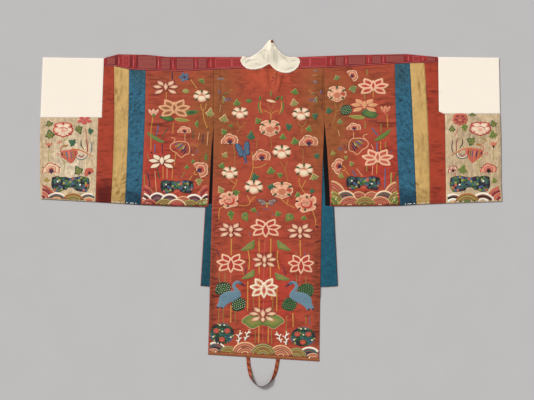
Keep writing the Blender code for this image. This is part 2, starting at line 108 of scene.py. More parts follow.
class Layer(Enum):
    """The upper layer of a sleeve is its back, and the lower one its front."""

    UPPER = "back"
    LOWER = "front"


class Tone(Enum):
    """The dyes of the cloth and of the embroidery threads, as they look in even light (0 to 255)."""

    RED_SILK = (173, 74, 51)
    BRIGHT_RED = (196, 84, 54)
    LOW_RED = (186, 59, 45)
    FADED_RED = (146, 86, 44)
    WORN_RED = (144, 68, 42)
    STRIP_RED = (170, 64, 42)
    STRIP_FOOT = (96, 18, 10)
    # Painted shade along creases and rolled hems, and the tone of a few small worn patches
    SOIL = (74, 26, 18)
    YELLOW_SILK = (208, 169, 104)
    YELLOW_SHADE = (152, 118, 62)
    BLUE_TOP = (54, 90, 100)
    BLUE_SILK = (50, 102, 126)
    BLUE_FOOT = (22, 58, 78)
    BLUE_SHADE = (22, 46, 62)
    TEAL = (24, 76, 90)
    TEAL_BRIGHT = (26, 88, 108)
    TEAL_SHADE = (22, 52, 64)
    CUFF_SILK = (214, 188, 152)
    CUFF_PALE = (232, 212, 182)
    CUFF_SHADE = (176, 150, 112)
    COVER_WHITE = (252, 240, 224)
    COVER_SHADE = (240, 226, 206)
    IVORY = (242, 232, 210)
    IVORY_SHADE = (196, 188, 168)
    IVORY_RIM = (255, 247, 230)
    WAVE_SHADE = (140, 76, 52)
    CRIMSON = (164, 44, 44)
    CRIMSON_DARK = (112, 26, 32)
    CRIMSON_PINK = (190, 82, 80)
    BAND_BROWN = (154, 66, 58)
    BINDING_ORANGE = (146, 82, 48)
    BINDING_PALE = (176, 122, 68)
    TAPE_RED = (150, 66, 40)
    TAPE_DARK = (84, 30, 24)
    TAPE_EDGE = (86, 62, 56)
    NEAR_BLACK = (16, 14, 17)
    CREAM = (240, 210, 172)
    PALE_CREAM = (246, 226, 196)
    BLUSH = (228, 160, 130)
    PEACH = (226, 168, 122)
    SALMON = (212, 124, 94)
    PINK = (226, 138, 118)
    CORAL = (200, 96, 72)
    ROSE = (204, 74, 84)
    DEEP_ROSE = (142, 36, 44)
    FLOWER_RED = (186, 52, 38)
    LEAF = (88, 120, 52)
    DARK_LEAF = (34, 78, 40)
    OLIVE = (140, 134, 60)
    PALE_LEAF = (146, 146, 92)
    BLUE_LEAF = (62, 104, 84)
    MOSS = (160, 156, 74)
    GOLD = (206, 148, 60)
    OCHRE = (170, 116, 50)
    CRANE_BLUE = (104, 136, 152)
    CRANE_SHADE = (82, 112, 130)
    STEEL = (68, 98, 134)
    NAVY = (34, 32, 60)
    PURPLE = (62, 34, 62)
    MAUVE = (120, 88, 112)
    ORANGE = (200, 112, 58)
    TEAL_THREAD = (46, 92, 92)
    SOFT_WHITE = (244, 236, 218)
    SHELL = (240, 186, 150)
    PALE_MOSS = (214, 214, 164)
    BOTTLE = (24, 52, 34)
    MAROON = (98, 26, 22)
    TAN_ROSE = (196, 118, 84)
    ORANGE_SILK = (222, 158, 104)

    @property
    def linear(self) -> Numbers:
        """The tone as the three linear numbers that a shader takes."""
        share = np.array(self.value, float) / 255.0
        return np.where(share <= 0.04045, share / 12.92, ((share + 0.055) / 1.055) ** 2.4)


def blend(a: Numbers, b: Numbers, share: Numbers) -> Numbers:
    """The value that lies share of the way from a to b."""
    return a + (b - a) * share


def smooth(low: float, high: float, value: Numbers) -> Numbers:
    """0 at low and 1 at high, with soft ends. low may be above high."""
    share = np.clip((np.asarray(value, float) - low) / (high - low), 0.0, 1.0)
    return share * share * (3.0 - 2.0 * share)


def stops(first: float, last: float, count: int) -> list[float]:
    """The ends of count even intervals from first to last."""
    return [blend(first, last, i / count) for i in range(count + 1)]


def mix(tones: Numbers, other: Numbers, share: Numbers) -> Numbers:
    """Rows of colours taken share of the way to another colour."""
    return blend(tones, other, np.asarray(share, float)[..., None])


@dataclass(frozen=True)
class Edge:
    """A cut or folded edge, straight between its spots and past its ends."""

    spots: tuple[Spot, ...]

    def x_at(self, y: Numbers) -> Numbers:
        """x of the edge at the heights y."""
        return self._read(y, 1, 0)

    def y_at(self, x: Numbers) -> Numbers:
        """y of the edge at the places x."""
        return self._read(x, 0, 1)

    def _read(self, value: Numbers, known: int, wanted: int) -> Numbers:
        """Reads one coordinate of the edge by the other.

        Args:
            value: the known coordinates.
            known: 0 where they are x, 1 where they are y.
            wanted: the other of the two.

        Returns:
            The wanted coordinate at each value.
        """
        table = np.array(sorted(self.spots, key=lambda spot: spot[known]), float)
        value = np.asarray(value, float)
        near = np.clip(np.searchsorted(table[:, known], value, side="right") - 1, 0, len(table) - 2)
        start, end = table[near], table[near + 1]
        share = (value - start[..., known]) / (end[..., known] - start[..., known])
        return blend(start[..., wanted], end[..., wanted], share)


@dataclass(frozen=True)
class Seam:
    """A lengthwise seam of a sleeve: its x at three heights, on a parabola between them."""

    top: float
    middle: float
    foot: float

    def x_at(self, y: Numbers) -> Numbers:
        """x of the seam at the heights y.

        Args:
            y: places up the robe.

        Returns:
            x at each height.
        """
        t = (SEAM_TOP - np.asarray(y, float)) / (SEAM_TOP - SEAM_FOOT)
        at_top, at_middle, at_foot = (1 - t) * (1 - 2 * t), 4 * t * (1 - t), t * (2 * t - 1)
        return self.top * at_top + self.middle * at_middle + self.foot * at_foot


SEAM_TOP, SEAM_FOOT = 560.0, 40.0


def edge(*pairs: tuple[float, float]) -> Edge:
    """An edge through these (x, y) places."""
    return Edge(tuple(Spot(*pair) for pair in pairs))


SEAMS = {
    Side.LEFT: {
        "cover": Seam(-644, -653, -662),
        "cuff": Seam(-659, -667, -676),
        "red": Seam(-604, -605, -616),
        "yellow": Seam(-546, -551, -562),
        "blue": Seam(-482, -488, -501),
    },
    Side.RIGHT: {
        "cover": Seam(644, 647, 650),
        "cuff": Seam(666, 671, 674),
        "red": Seam(592, 607, 612),
        "yellow": Seam(536, 549, 560),
        "blue": Seam(477, 484, 497),
    },
}
OUTER_EDGE = {
    Side.LEFT: edge((-878, 602), (-886, 400), (-890, 300), (-890, 120), (-886, 54)),
    Side.RIGHT: edge((878, 602), (882, 400), (886, 300), (887, 120), (890, 45)),
}
BACK_SIDE = {
    Side.LEFT: edge((-220, 560), (-220, 332), (-224, 128), (-228, 0), (-243, -560)),
    Side.RIGHT: edge((206, 560), (206, 351), (197, 128), (194, 0), (186, -570)),
}
SLEEVE_SIDE = {
    Side.LEFT: edge((-220, 560), (-220, 332), (-229, 243), (-235, 128), (-241, 24)),
    Side.RIGHT: edge((206, 560), (206, 351), (216, 243), (223, 128), (228, 27)),
}
FRONT_SIDE = {
    Side.LEFT: edge((-220, 560), (-254, 24), (-272, -281)),
    Side.RIGHT: edge((206, 560), (243, 24), (258, -277)),
}
SHOULDER = edge(
    (-890, 600), (-646, 596), (-590, 612), (-480, 610), (-400, 602),
    (100, 601), (300, 609), (520, 613), (646, 601), (890, 598),
)
BAND_FOOT = edge(
    (-646, 565), (-604, 566), (-546, 553), (-482, 549), (-351, 545), (-220, 552), (-92.5, 558),
    (92.5, 556), (206, 559), (341, 566), (477, 575), (536, 577), (592, 578), (646, 578),
)
SLEEVE_HEM = edge(
    (-890, 55), (-676, 43), (-562, 36), (-501, 32), (-371, 26), (-241, 24),
    (228, 27), (362, 27), (497, 29), (560, 33), (674, 38), (890, 45),
)


def named_rows(kind: type, *values: tuple[float, ...]) -> tuple:
    """Named rows of one kind, from plain rows in the order of its fields."""
    return tuple(kind(*row) for row in values)


class Fold(NamedTuple):
    """A soft ridge. lean is its angle from the X axis in degrees."""

    x: float
    y: float
    half_length: float
    half_width: float
    height: float
    lean: float


class Crease(NamedTuple):
    """A pressed crease, soft on one flank and steep on the other, with painted shade along its steep foot,
    which turns to a painted highlight where its amount is below 0.
    """

    x: float
    y: float
    half_length: float
    width: float
    height: float
    lean: float
    soil: float


FOLDS = named_rows(
    Fold,
    (-432, 346, 78, 15, 2.2, -4), (436, 347, 84, 15, 2.4, 3), (-640, 134, 34, 15, 1.6, 0),
    (642, 100, 34, 15, 1.5, -4), (626, 470, 34, 15, 1.5, -6), (524, 176, 34, 15, 1.4, 14),
    (-390, 505, 110, 20, 1.4, -8), (395, 480, 110, 20, 1.4, 9), (28, 492, 70, 24, 2.2, 78),
    (-22, 505, 55, 22, 1.6, 96), (-176, 450, 110, 24, 1.8, 91), (168, 455, 120, 26, 1.8, 88),
    (-120, 40, 110, 26, 1.4, 4), (90, -140, 120, 28, 1.6, -5), (-100, -250, 120, 26, 1.4, 6),
    (60, -420, 130, 26, 1.8, 3),
)

# The creases that show on the upper layer, sleeve by sleeve and then down the back
CREASES = named_rows(
    Crease,
    (-446, 345, 42, 9, 1.1, -3, 0.9), (-400, 352, 34, 8, 0.6, 12, 0.5),
    (-452, 517, 36, 7, 0.7, -3, 0.6), (-448, 457, 34, 7, 0.7, -5, 0.55), (-455, 441, 26, 6, 0.5, 2, 0.4),
    (-462, 95, 30, 8, 0.6, 8, 0.5), (-300, 88, 50, 9, 0.6, 14, 0.4), (-640, 132, 30, 9, 0.8, 0, 0.8),
    (-636, 74, 28, 9, 0.8, -6, 0.5), (-590, 106, 20, 6, 0.6, -38, 0.6), (-582, 82, 22, 6, 0.6, -30, 0.6),
    (-592, 62, 18, 5, 0.5, 24, 0.5), (-530, 78, 22, 6, 0.5, -12, 0.6), (-522, 56, 24, 6, 0.5, 8, 0.6),
    (-592, 596, 20, 8, 0.7, 88, 0.8), (-516, 594, 22, 8, 0.8, 91, 0.9), (-540, 590, 18, 6, 0.4, 84, 0.4),
    (447, 420, 36, 8, 0.7, 3, 0.7), (440, 350, 54, 9, 1.1, -2, 0.9), (452, 337, 36, 8, 0.8, 4, 0.8),
    (462, 444, 26, 6, 0.5, -4, 0.5), (462, 196, 22, 7, 0.6, -18, 0.6), (466, 172, 20, 6, 0.5, 10, 0.5),
    (628, 473, 26, 8, 0.8, -3, 0.8), (636, 100, 26, 8, 0.8, -4, 0.7), (524, 177, 28, 7, 0.7, 14, -0.4),
    (550, 596, 22, 8, 0.8, 92, 0.8), (604, 592, 20, 7, 0.5, 86, 0.4), (270, 556, 60, 8, 0.5, 8, 0.4),
    (385, 560, 70, 8, 0.5, 5, 0.35), (520, 92, 26, 7, 0.5, -8, 0.5), (528, 66, 24, 6, 0.5, 6, 0.5),
    (16, 520, 46, 9, 0.8, 84, 0.5), (34, 500, 60, 9, 0.8, 76, 0.4), (-14, 520, 40, 8, 0.6, 98, 0.3),
    (-198, 500, 90, 8, 0.6, 91, 0.35), (194, 470, 110, 8, 0.6, 89, 0.45), (-120, 28, 74, 8, 0.5, 4, 0.35),
    (130, 96, 60, 8, 0.5, -6, 0.35), (60, -92, 80, 9, 0.6, 3, 0.3), (-60, -150, 90, 9, 0.6, -4, 0.3),
    (120, -260, 60, 8, 0.6, 5, 0.4), (-150, -300, 56, 8, 0.6, -6, 0.4), (20, -336, 100, 9, 0.7, 2, 0.35),
    (-20, -470, 110, 9, 0.6, -3, 0.3), (-800, 330, 60, 9, 0.5, 10, 0.1), (-760, 210, 70, 8, 0.5, -8, 0.15),
    (790, 250, 70, 9, 0.5, 6, 0.15), (740, 120, 50, 8, 0.5, -10, 0.15), (-300, 300, 60, 9, 0.6, 7, 0.2),
    (300, 250, 60, 9, 0.6, -8, 0.2),
)


class PuckerRow(NamedTuple):
    """A row of short puckers along a seam from one height to another."""

    line: Edge
    top: float
    foot: float
    inward: float
    count: int
    reach: float
    soil: float


PUCKER_ROWS = named_rows(
    PuckerRow,
    (BACK_SIDE[Side.LEFT], 70, -500, 1, 62, 15, 0.8),
    (BACK_SIDE[Side.RIGHT], 40, -510, -1, 60, 15, 0.8), (OUTER_EDGE[Side.LEFT], 360, 70, 1, 34, 13, 0.35),
    (OUTER_EDGE[Side.RIGHT], 370, 60, -1, 34, 13, 0.3), (SLEEVE_SIDE[Side.LEFT], 320, 110, -1, 14, 10, 0.3),
    (SLEEVE_SIDE[Side.RIGHT], 330, 110, 1, 14, 10, 0.3),
)


def seam_puckers() -> tuple[Crease, ...]:
    """The puckers of every row, unevenly spaced and leaned.

    Returns:
        The puckers, as creases.
    """
    chance = np.random.default_rng(7)
    found = []
    for row in PUCKER_ROWS:
        for share in (np.arange(row.count) + chance.uniform(0.1, 0.9, row.count)) / row.count:
            y = blend(row.top, row.foot, share)
            reach = row.reach * chance.uniform(0.6, 1.5)
            x = float(row.line.x_at(y)) + row.inward * reach * chance.uniform(0.6, 1.3)
            lean = chance.uniform(-14, 14)
            width, height = chance.uniform(4.5, 8.0), chance.uniform(0.25, 0.6)
            found.append(Crease(x, y, reach, width, height, lean, row.soil * chance.uniform(0.3, 1.0)))
    return tuple(found)


class WrinkleField(NamedTuple):
    """A stretch of cloth with fine wrinkles that all run much the same way, lean degrees from the X axis."""

    left: float
    right: float
    foot: float
    top: float
    count: int
    reach: float
    lean: float
    height: float
    soil: float


WRINKLE_FIELDS = named_rows(
    WrinkleField,
    (-240, 190, -530, -60, 120, 24, 0, 0.45, 0.5),
    (-235, 200, -60, 300, 36, 22, 0, 0.35, 0.25), (-492, -360, 70, 560, 44, 24, -4, 0.5, 0.5),
    (370, 495, 70, 560, 54, 26, 3, 0.5, 0.55), (-360, -250, 40, 560, 26, 20, 0, 0.35, 0.3),
    (240, 370, 40, 560, 26, 20, 0, 0.35, 0.3), (-665, -614, 50, 560, 20, 18, 2, 0.4, 0.5),
    (612, 668, 50, 560, 16, 18, -4, 0.4, 0.5), (-604, -556, 40, 150, 34, 12, 35, 0.7, 0.8),
    (552, 602, 40, 120, 20, 12, -35, 0.6, 0.7), (-604, -562, 150, 560, 22, 30, 89, 0.5, 0.6),
    (560, 596, 120, 560, 22, 30, 91, 0.5, 0.6), (-546, -498, 40, 570, 60, 12, 40, 0.4, 0.7),
    (496, 545, 40, 570, 64, 12, -40, 0.4, 0.7), (-880, -684, 90, 350, 60, 28, 90, 0.5, 0.42),
    (684, 880, 90, 360, 56, 28, 90, 0.5, 0.42), (-250, -110, 575, 604, 10, 14, 90, 0.4, 0.4),
    (-640, -260, 575, 606, 30, 13, 90, 0.4, 0.45), (110, 640, 578, 606, 34, 13, 90, 0.4, 0.45),
)


def fine_wrinkles() -> tuple[Crease, ...]:
    """The fine wrinkles of every field, scattered through it.

    Returns:
        The wrinkles, as creases.
    """
    chance = np.random.default_rng(11)
    found = []
    for area in WRINKLE_FIELDS:
        for _ in range(area.count):
            x, y = chance.uniform(area.left, area.right), chance.uniform(area.foot, area.top)
            reach, lean = area.reach * chance.uniform(0.4, 1.5), area.lean + chance.uniform(-16, 16)
            share, width = chance.uniform(0.3, 1.0), chance.uniform(6.0, 10.0)
            found.append(Crease(x, y, reach, width, share * area.height, lean, share * area.soil))
    return tuple(found)


@dataclass(frozen=True)
class Lay:
    """How the upper layer lies: on what is below it, with its folds and creases."""

    folds: tuple[Fold, ...]
    creases: tuple[Crease, ...]
    body_fall: tuple[float, float] = (-300.0, -345.0)
    steep_share: float = 0.4

    def under(self, x: Numbers, y: Numbers) -> Numbers:
        """Height of the upper layer's underside, without the creases.

        Args:
            x: places across the robe.
            y: places up the robe.

        Returns:
            The height at each place.
        """
        rest = blend(BODY_REST, SLEEVE_REST, smooth(BODY_HALF, REST_HALF, np.abs(x)))
        fallen = smooth(*self.body_fall, y) * (np.abs(x) < BODY_HALF)
        height = rest * (1.0 - fallen)
        for fold in self.folds:
            along, across = self._turned(fold, x, y)
            ends = smooth(fold.half_length, 0.35 * fold.half_length, np.abs(along))
            height = height + fold.height * ends * smooth(fold.half_width, 0.0, np.abs(across))
        return height

    def creased(self, x: Numbers, y: Numbers) -> tuple[Numbers, Numbers]:
        """Reads the creases at these places.

        Args:
            x: places across the robe.
            y: places up the robe.

        Returns:
            How much the creases raise the cloth, and how much painted shade (above 0) or painted highlight
            (below 0) lies along them.
        """
        x, y = np.broadcast_arrays(np.asarray(x, float), np.asarray(y, float))
        height, soil = np.zeros(x.shape), np.zeros(x.shape)
        for crease in self.creases:
            reach = crease.half_length + crease.width
            near = (np.abs(x - crease.x) < reach) & (np.abs(y - crease.y) < reach)
            if not near.any():
                continue
            along, across = self._turned(crease, x[near], y[near])
            ends = smooth(crease.half_length, 0.3 * crease.half_length, np.abs(along))
            steep = crease.width * self.steep_share
            flank = np.where(across > 0, 1 - smooth(0, crease.width, across), 1 - smooth(0, steep, -across))
            height[near] += crease.height * ends * flank
            soil[near] += crease.soil * ends * np.exp(-(((across + steep) / steep) ** 2))
        return height, soil

    def top(self, x: Numbers, y: Numbers) -> Numbers:
        """Height of the upper layer's top."""
        return self.under(x, y) + BACK_WALL + self.creased(x, y)[0]

    @staticmethod
    def _turned(line: Fold | Crease, x: Numbers, y: Numbers) -> tuple[Numbers, Numbers]:
        """Distances along and across a fold or crease from its middle.

        Args:
            line: the fold or crease.
            x: places across the robe.
            y: places up the robe.

        Returns:
            How far each place lies along the line, and across it.
        """
        lean = math.radians(line.lean)
        along = (x - line.x) * math.cos(lean) + (y - line.y) * math.sin(lean)
        across = (y - line.y) * math.cos(lean) - (x - line.x) * math.sin(lean)
        return along, across


LAY = Lay(FOLDS, CREASES + seam_puckers() + fine_wrinkles())


class Wash(NamedTuple):
    """A soft place where the cloth has another tone: box has square sides, otherwise it is an oval."""

    x: float
    y: float
    half_width: float
    half_height: float
    tone: Tone
    strength: float
    box: bool = False


@dataclass(frozen=True)
class Dye:
    """The colour of a piece of cloth, with its fading, its shading, and painted shade along its creases."""

    base: Tone
    washes: tuple[Wash, ...] = ()
    # The tone of the painted shade along the creases
    soil: Tone = Tone.SOIL
    softness: float = 0.2

    def __call__(self, x: Numbers, y: Numbers, u: Numbers, w: Numbers) -> Numbers:
        """The colour at each place, where u and w are the place in the piece's own grid.

        Args:
            x: places across the robe.
            y: places up the robe.
            u: places across the piece.
            w: places along the piece.

        Returns:
            The colour at each place.
        """
        tones = np.tile(self.base.linear, (len(x), 1))
        for wash in self.washes:
            side = np.abs(x - wash.x) / wash.half_width
            rise = np.abs(y - wash.y) / wash.half_height
            away = np.maximum(side, rise) if wash.box else np.hypot(side, rise)
            tones = mix(tones, wash.tone.linear, wash.strength * smooth(1.0, self.softness, away))
        # Painted shade darkens the creases' steep feet; where the amount is below 0 it is a painted highlight
        # that lightens them
        soil = LAY.creased(x, y)[1]
        tones = mix(tones, self.soil.linear, np.clip(soil, 0.0, 0.9))
        return tones * (1.0 + 0.6 * np.clip(-soil, 0.0, 1.0))[..., None]


class NodeBench:
    """Puts shader nodes into one new material and links them."""

    def __init__(self, name: str) -> None:
        """Makes the material, with a Principled BSDF as its only shader.

        Args:
            name: the material's name.
        """
        self.material = bpy.data.materials.new(name)
        self.material.use_nodes = True
        self.tree = self.material.node_tree
        self.shader = self.tree.nodes["Principled BSDF"]

    def add(self, kind: str, settings: dict | None = None, **inputs: object) -> bpy.types.Node:
        """Adds a node.

        Args:
            kind: the node's type, without "ShaderNode".
            settings: attributes to set on the node.
            inputs: socket names, with spaces as underscores, and a number, colour or socket for each.

        Returns:
            The node.
        """
        node = self.tree.nodes.new("ShaderNode" + kind)
        for name, value in (settings or {}).items():
            setattr(node, name, value)
        for name, value in inputs.items():
            self.feed(node.inputs[name.replace("_", " ")], value)
        return node

    def feed(self, socket: Socket, value: object) -> None:
        """Links a socket to another one, or sets its value.

        Args:
            socket: the input.
            value: a number, colour or socket.
        """
        if isinstance(value, Socket):
            self.tree.links.new(value, socket)
        else:
            socket.default_value = value

    def math(self, operation: str, a: object, b: object = 0.0) -> Socket:
        """The result of a Math node on two numbers or sockets.

        Args:
            operation: the node's operation.
            a: the first input.
            b: the second input.

        Returns:
            The result's socket.
        """
        node = self.add("Math", {"operation": operation})
        self.feed(node.inputs[0], a)
        self.feed(node.inputs[1], b)
        return node.outputs[0]

    def stretched(self, vector: Socket, scale: tuple[float, float, float]) -> Socket:
        """A coordinate scaled by its own factor along each axis."""
        return self.add("Mapping", Vector=vector, Scale=scale).outputs[0]

    def noise(self, vector: Socket, scale: float, detail: float = 3.0) -> Socket:
        """Cloudy noise from 0 to 1."""
        return self.add("TexNoise", Vector=vector, Scale=scale, Detail=detail, Roughness=0.6).outputs[0]

    def shade(self, colour: Socket, factor: Socket) -> Socket:
        """A colour multiplied by a grey factor.

        Args:
            colour: the colour.
            factor: the grey factor.

        Returns:
            The product's socket.
        """
        node = self.add("Mix", {"data_type": "RGBA", "blend_type": "MULTIPLY"})
        node.inputs[0].default_value = 1.0
        self.feed(node.inputs[6], colour)
        self.feed(node.inputs[7], factor)
        return node.outputs[2]

    def ranged(self, value: Socket, low: float, high: float) -> Socket:
        """Noise from 0.3 to 0.7 taken to the range from low to high.

        Args:
            value: the noise.
            low: what 0.3 becomes.
            high: what 0.7 becomes.

        Returns:
            The new value's socket.
        """
        node = self.add("MapRange", Value=value)
        for name, number in (("From Min", 0.3), ("From Max", 0.7), ("To Min", low), ("To Max", high)):
            node.inputs[name].default_value = number
        return node.outputs[0]

    def surface(self, colour: object, roughness: object, relief: Socket, height: float) -> None:
        """Feeds the shader its colour, its roughness and a bump of that height in metres.

        Args:
            colour: a colour's socket.
            roughness: a number or socket.
            relief: the bump's pattern.
            height: the bump's height in metres.
        """
        bump = self.add("Bump", Strength=1.0, Distance=height, Height=relief)
        self.feed(self.shader.inputs["Base Color"], colour)
        self.feed(self.shader.inputs["Roughness"], roughness)
        self.feed(self.shader.inputs["Normal"], bump.outputs[0])


@dataclass(frozen=True)
class ClothFinish:
    """A woven cloth. The piece gives its dye, and nodes give its threads, slubs, mottling and wear.

    thread and slub are the weave's sizes in mm, depth is how far slubs change the colour, mottle the
    size of cloudy patches in mm with their depth, relief the bump's height in mm, and wrinkle the size
    of the fine wandering wrinkles across and along the robe, with their depth, which also darkens the
    colour along them as painted shade.
    """

    name: str
    roughness: float
    sheen: float
    gloss: float
    thread: float
    slub: tuple[float, float]
    depth: float
    mottle: float
    mottle_depth: float
    relief: float
    wrinkle: tuple[float, float, float] = (40.0, 40.0, 0.0)

    def material(self) -> bpy.types.Material:
        """The finish as a material, made once.

        Returns:
            The material.
        """
        made = bpy.data.materials.get(self.name)
        if made:
            return made
        bench = NodeBench(self.name)
        place = bench.add("TexCoord").outputs["Object"]
        dye = bench.add("Attribute", {"attribute_name": "dye"}).outputs["Color"]
        long_slub, thin_slub = (1 / (MM * size) for size in self.slub)
        slubs = bench.noise(bench.stretched(place, (long_slub, thin_slub, thin_slub)), 1.0, 2.0)
        clouds = bench.noise(place, 1 / (MM * self.mottle), 5.0)
        threads = self._threads(bench, place)
        colour = bench.shade(dye, bench.ranged(slubs, 1 - self.depth, 1 + self.depth))
        colour = bench.shade(colour, bench.ranged(clouds, 1 - self.mottle_depth, 1 + self.mottle_depth))
        # Painted shade along the fine wrinkles, which are also cut into the bump
        wrinkles = self._wrinkles(bench, place)
        darker = bench.math("MULTIPLY", wrinkles, self.wrinkle[2])
        colour = bench.shade(colour, bench.math("SUBTRACT", 1.0, darker))
        rough = bench.ranged(clouds, self.roughness - 0.07, self.roughness + 0.07)
        relief = bench.math("ADD", bench.math("MULTIPLY", slubs, 0.6), bench.math("MULTIPLY", threads, 0.4))
        relief = bench.math("SUBTRACT", relief, bench.math("MULTIPLY", wrinkles, 3.0 * self.wrinkle[2]))
        bench.surface(colour, rough, relief, self.relief * MM)
        bench.shader.inputs["Sheen Weight"].default_value = self.sheen
        bench.shader.inputs["Sheen Roughness"].default_value = 0.4
        bench.shader.inputs["Specular IOR Level"].default_value = self.gloss
        return bench.material

    def _wrinkles(self, bench: NodeBench, place: Socket) -> Socket:
        """Thin wandering lines in patches, 1 on a line: where stretched noise crosses its middle value.

        Args:
            bench: the bench of the material.
            place: the coordinate that the lines follow.

        Returns:
            The lines, from 0 to 1.
        """
        across, along = (1 / (MM * size) for size in self.wrinkle[:2])
        drift = bench.noise(bench.stretched(place, (across, along, along)), 1.0, 4.0)
        away = bench.math("ABSOLUTE", bench.math("SUBTRACT", drift, 0.5))
        line = bench.math("MAXIMUM", bench.math("SUBTRACT", 1.0, bench.math("MULTIPLY", away, 13.0)), 0.0)
        patch = bench.add("MapRange", Value=bench.noise(place, 1 / (MM * 90.0), 2.0))
        patch.inputs["From Min"].default_value = 0.42
        patch.inputs["From Max"].default_value = 0.56
        return bench.math("MULTIPLY", line, patch.outputs[0])

    def _threads(self, bench: NodeBench, place: Socket) -> Socket:
        """Warp and weft threads that cross, as one height.

        Args:
            bench: the bench of the material.
            place: the coordinate that the threads follow.

        Returns:
            Their height, from 0 to 1.
        """
        scale = math.pi / (10 * MM * self.thread)
        waves = [
            bench.add("TexWave", {"bands_direction": axis}, Vector=place, Scale=scale, Distortion=0.4)
            for axis in ("X", "Y")
        ]
        return bench.math("MULTIPLY", waves[0].outputs[1], waves[1].outputs[1])


# Name, roughness, sheen, gloss, thread, slub, depth, mottle, mottle depth, relief and wrinkle
SATIN = ClothFinish(
    "red_satin_silk", 0.52, 0.12, 0.22, 0.45, (9.0, 1.3), 0.09, 30.0, 0.1, 0.10, (80.0, 20.0, 0.34)
)
STRIP_SILK = ClothFinish(
    "strip_silk", 0.56, 0.12, 0.2, 0.5, (7.0, 1.6), 0.08, 24.0, 0.07, 0.10, (80.0, 22.0, 0.32)
)
BLUE_SILK = ClothFinish(
    "blue_crepe_silk", 0.6, 0.12, 0.2, 0.7, (8.0, 4.0), 0.26, 12.0, 0.3, 0.16, (20.0, 24.0, 0.34)
)
YELLOW_SILK = ClothFinish(
    "yellow_ribbed_silk", 0.6, 0.15, 0.24, 0.6, (3.0, 30.0), 0.08, 26.0, 0.1, 0.12, (14.0, 44.0, 0.2)
)
CUFF_SILK = ClothFinish(
    "ribbed_cream_silk", 0.62, 0.2, 0.2, 1.6, (4.0, 16.0), 0.2, 20.0, 0.16, 0.20, (18.0, 50.0, 0.28)
)
COVER_COTTON = ClothFinish("white_cover_cotton", 0.85, 0.1, 0.15, 0.8, (6.0, 2.4), 0.008, 60.0, 0.008, 0.10)
COLLAR_CLOTH = ClothFinish("ivory_collar_cloth", 0.8, 0.15, 0.2, 0.7, (5.0, 2.0), 0.015, 26.0, 0.03, 0.14)
BAND_SILK = ClothFinish(
    "crimson_band_silk", 0.58, 0.15, 0.22, 0.6, (2.0, 9.0), 0.14, 10.0, 0.16, 0.14, (20.0, 30.0, 0.34)
)
LINING_SILK = ClothFinish(
    "teal_lining_silk", 0.62, 0.12, 0.2, 0.7, (5.0, 3.0), 0.16, 16.0, 0.18, 0.18, (30.0, 16.0, 0.3)
)
# Near-black for the slit facings: partly a dark facing cloth, partly painted shadow in the slits
SLIT_SHADOW_CLOTH = ClothFinish("near_black_slit_shadow", 0.8, 0.05, 0.12, 0.7, (6.0, 2.0), 0.1, 20.0, 0.1, 0.1)
TAPE_CLOTH = ClothFinish("orange_hem_tape", 0.66, 0.15, 0.22, 0.9, (4.0, 2.2), 0.12, 14.0, 0.12, 0.2)


@dataclass
class Cloth:
    """One piece of cloth: a fine grid on its solid's form, thickened and dressed.

    Where wrapped is False, place gives the top of the cloth, and its thickness goes down from there.
    Where it is True, place gives the inner face, and the thickness goes out.
    """

    name: str
    slot: str
    finish: ClothFinish
    across: list[float]
    along: list[float]
    place: Place
    dye: Dyer
    wall: float
    rests_on: tuple[str, ...]
    wrapped: bool = False
    held: str = "laid"
    sewn_on: list[bpy.types.Object] = field(default_factory=list)

    def make(self) -> bpy.types.Object:
        """Builds the piece.

        Returns:
            Its object, which stands for the solid of the same name.
        """
        sheet = bmesh.new()
        bmesh.ops.create_grid(
            sheet, x_segments=len(self.across) - 1, y_segments=len(self.along) - 1, size=0.5
        )
        mesh = bpy.data.meshes.new(self.name)
        sheet.to_mesh(mesh)
        sheet.free()
        unit = np.empty(len(mesh.vertices) * 3)
        mesh.vertices.foreach_get("co", unit)
        unit = unit.reshape(-1, 3) + 0.5
        columns = np.rint(unit[:, 0] * (len(self.across) - 1)).astype(int)
        rows = np.rint(unit[:, 1] * (len(self.along) - 1)).astype(int)
        u, w = np.array(self.across, float)[columns], np.array(self.along, float)[rows]
        spots = np.stack(np.broadcast_arrays(*self.place(u, w)), axis=1)
        mesh.vertices.foreach_set("co", (spots * MM).ravel())
        dye = np.ones((len(u), 4))
        dye[:, :3] = self.dye(spots[:, 0], spots[:, 1], u, w)
        colours = mesh.color_attributes.new("dye", "FLOAT_COLOR", "POINT")
        colours.data.foreach_set("color", dye.ravel())
        mesh.shade_smooth()
        mesh.materials.append(self.finish.material())
        piece = bpy.data.objects.new(self.name + "_cloth", mesh)
        bpy.context.scene.collection.objects.link(piece)
        shell = piece.modifiers.new("wall", "SOLIDIFY")
        shell.thickness = self.wall * MM
        shell.offset = 1.0 if self.wrapped else -1.0
        shell.use_even_offset = False
        self._declare(piece, spots, columns, rows)
        return piece

    def _declare(self, piece: bpy.types.Object, spots: Numbers, columns: Numbers, rows: Numbers) -> None:
        """Rides the piece on the robe, fills a grid with its corners, and hides the solid of the same name.

        Args:
            piece: the piece.
            spots: the places of its corners.
            columns: the column of each corner.
            rows: the row of each corner.
        """
        net = np.empty((len(self.along), len(self.across), 3))
        net[rows, columns] = spots
        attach(piece, "root")
        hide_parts(self.name)


def spline(a: Path, b: Path, c: Path, d: Path, t: Numbers) -> Path:
    """The place at t on the way from b to c, on a smooth line that comes from a and runs on to d."""
    return b + 0.5 * t * (c - a + t * (2 * a - 5 * b + 4 * c - d + t * (3 * (b - c) + d - a)))


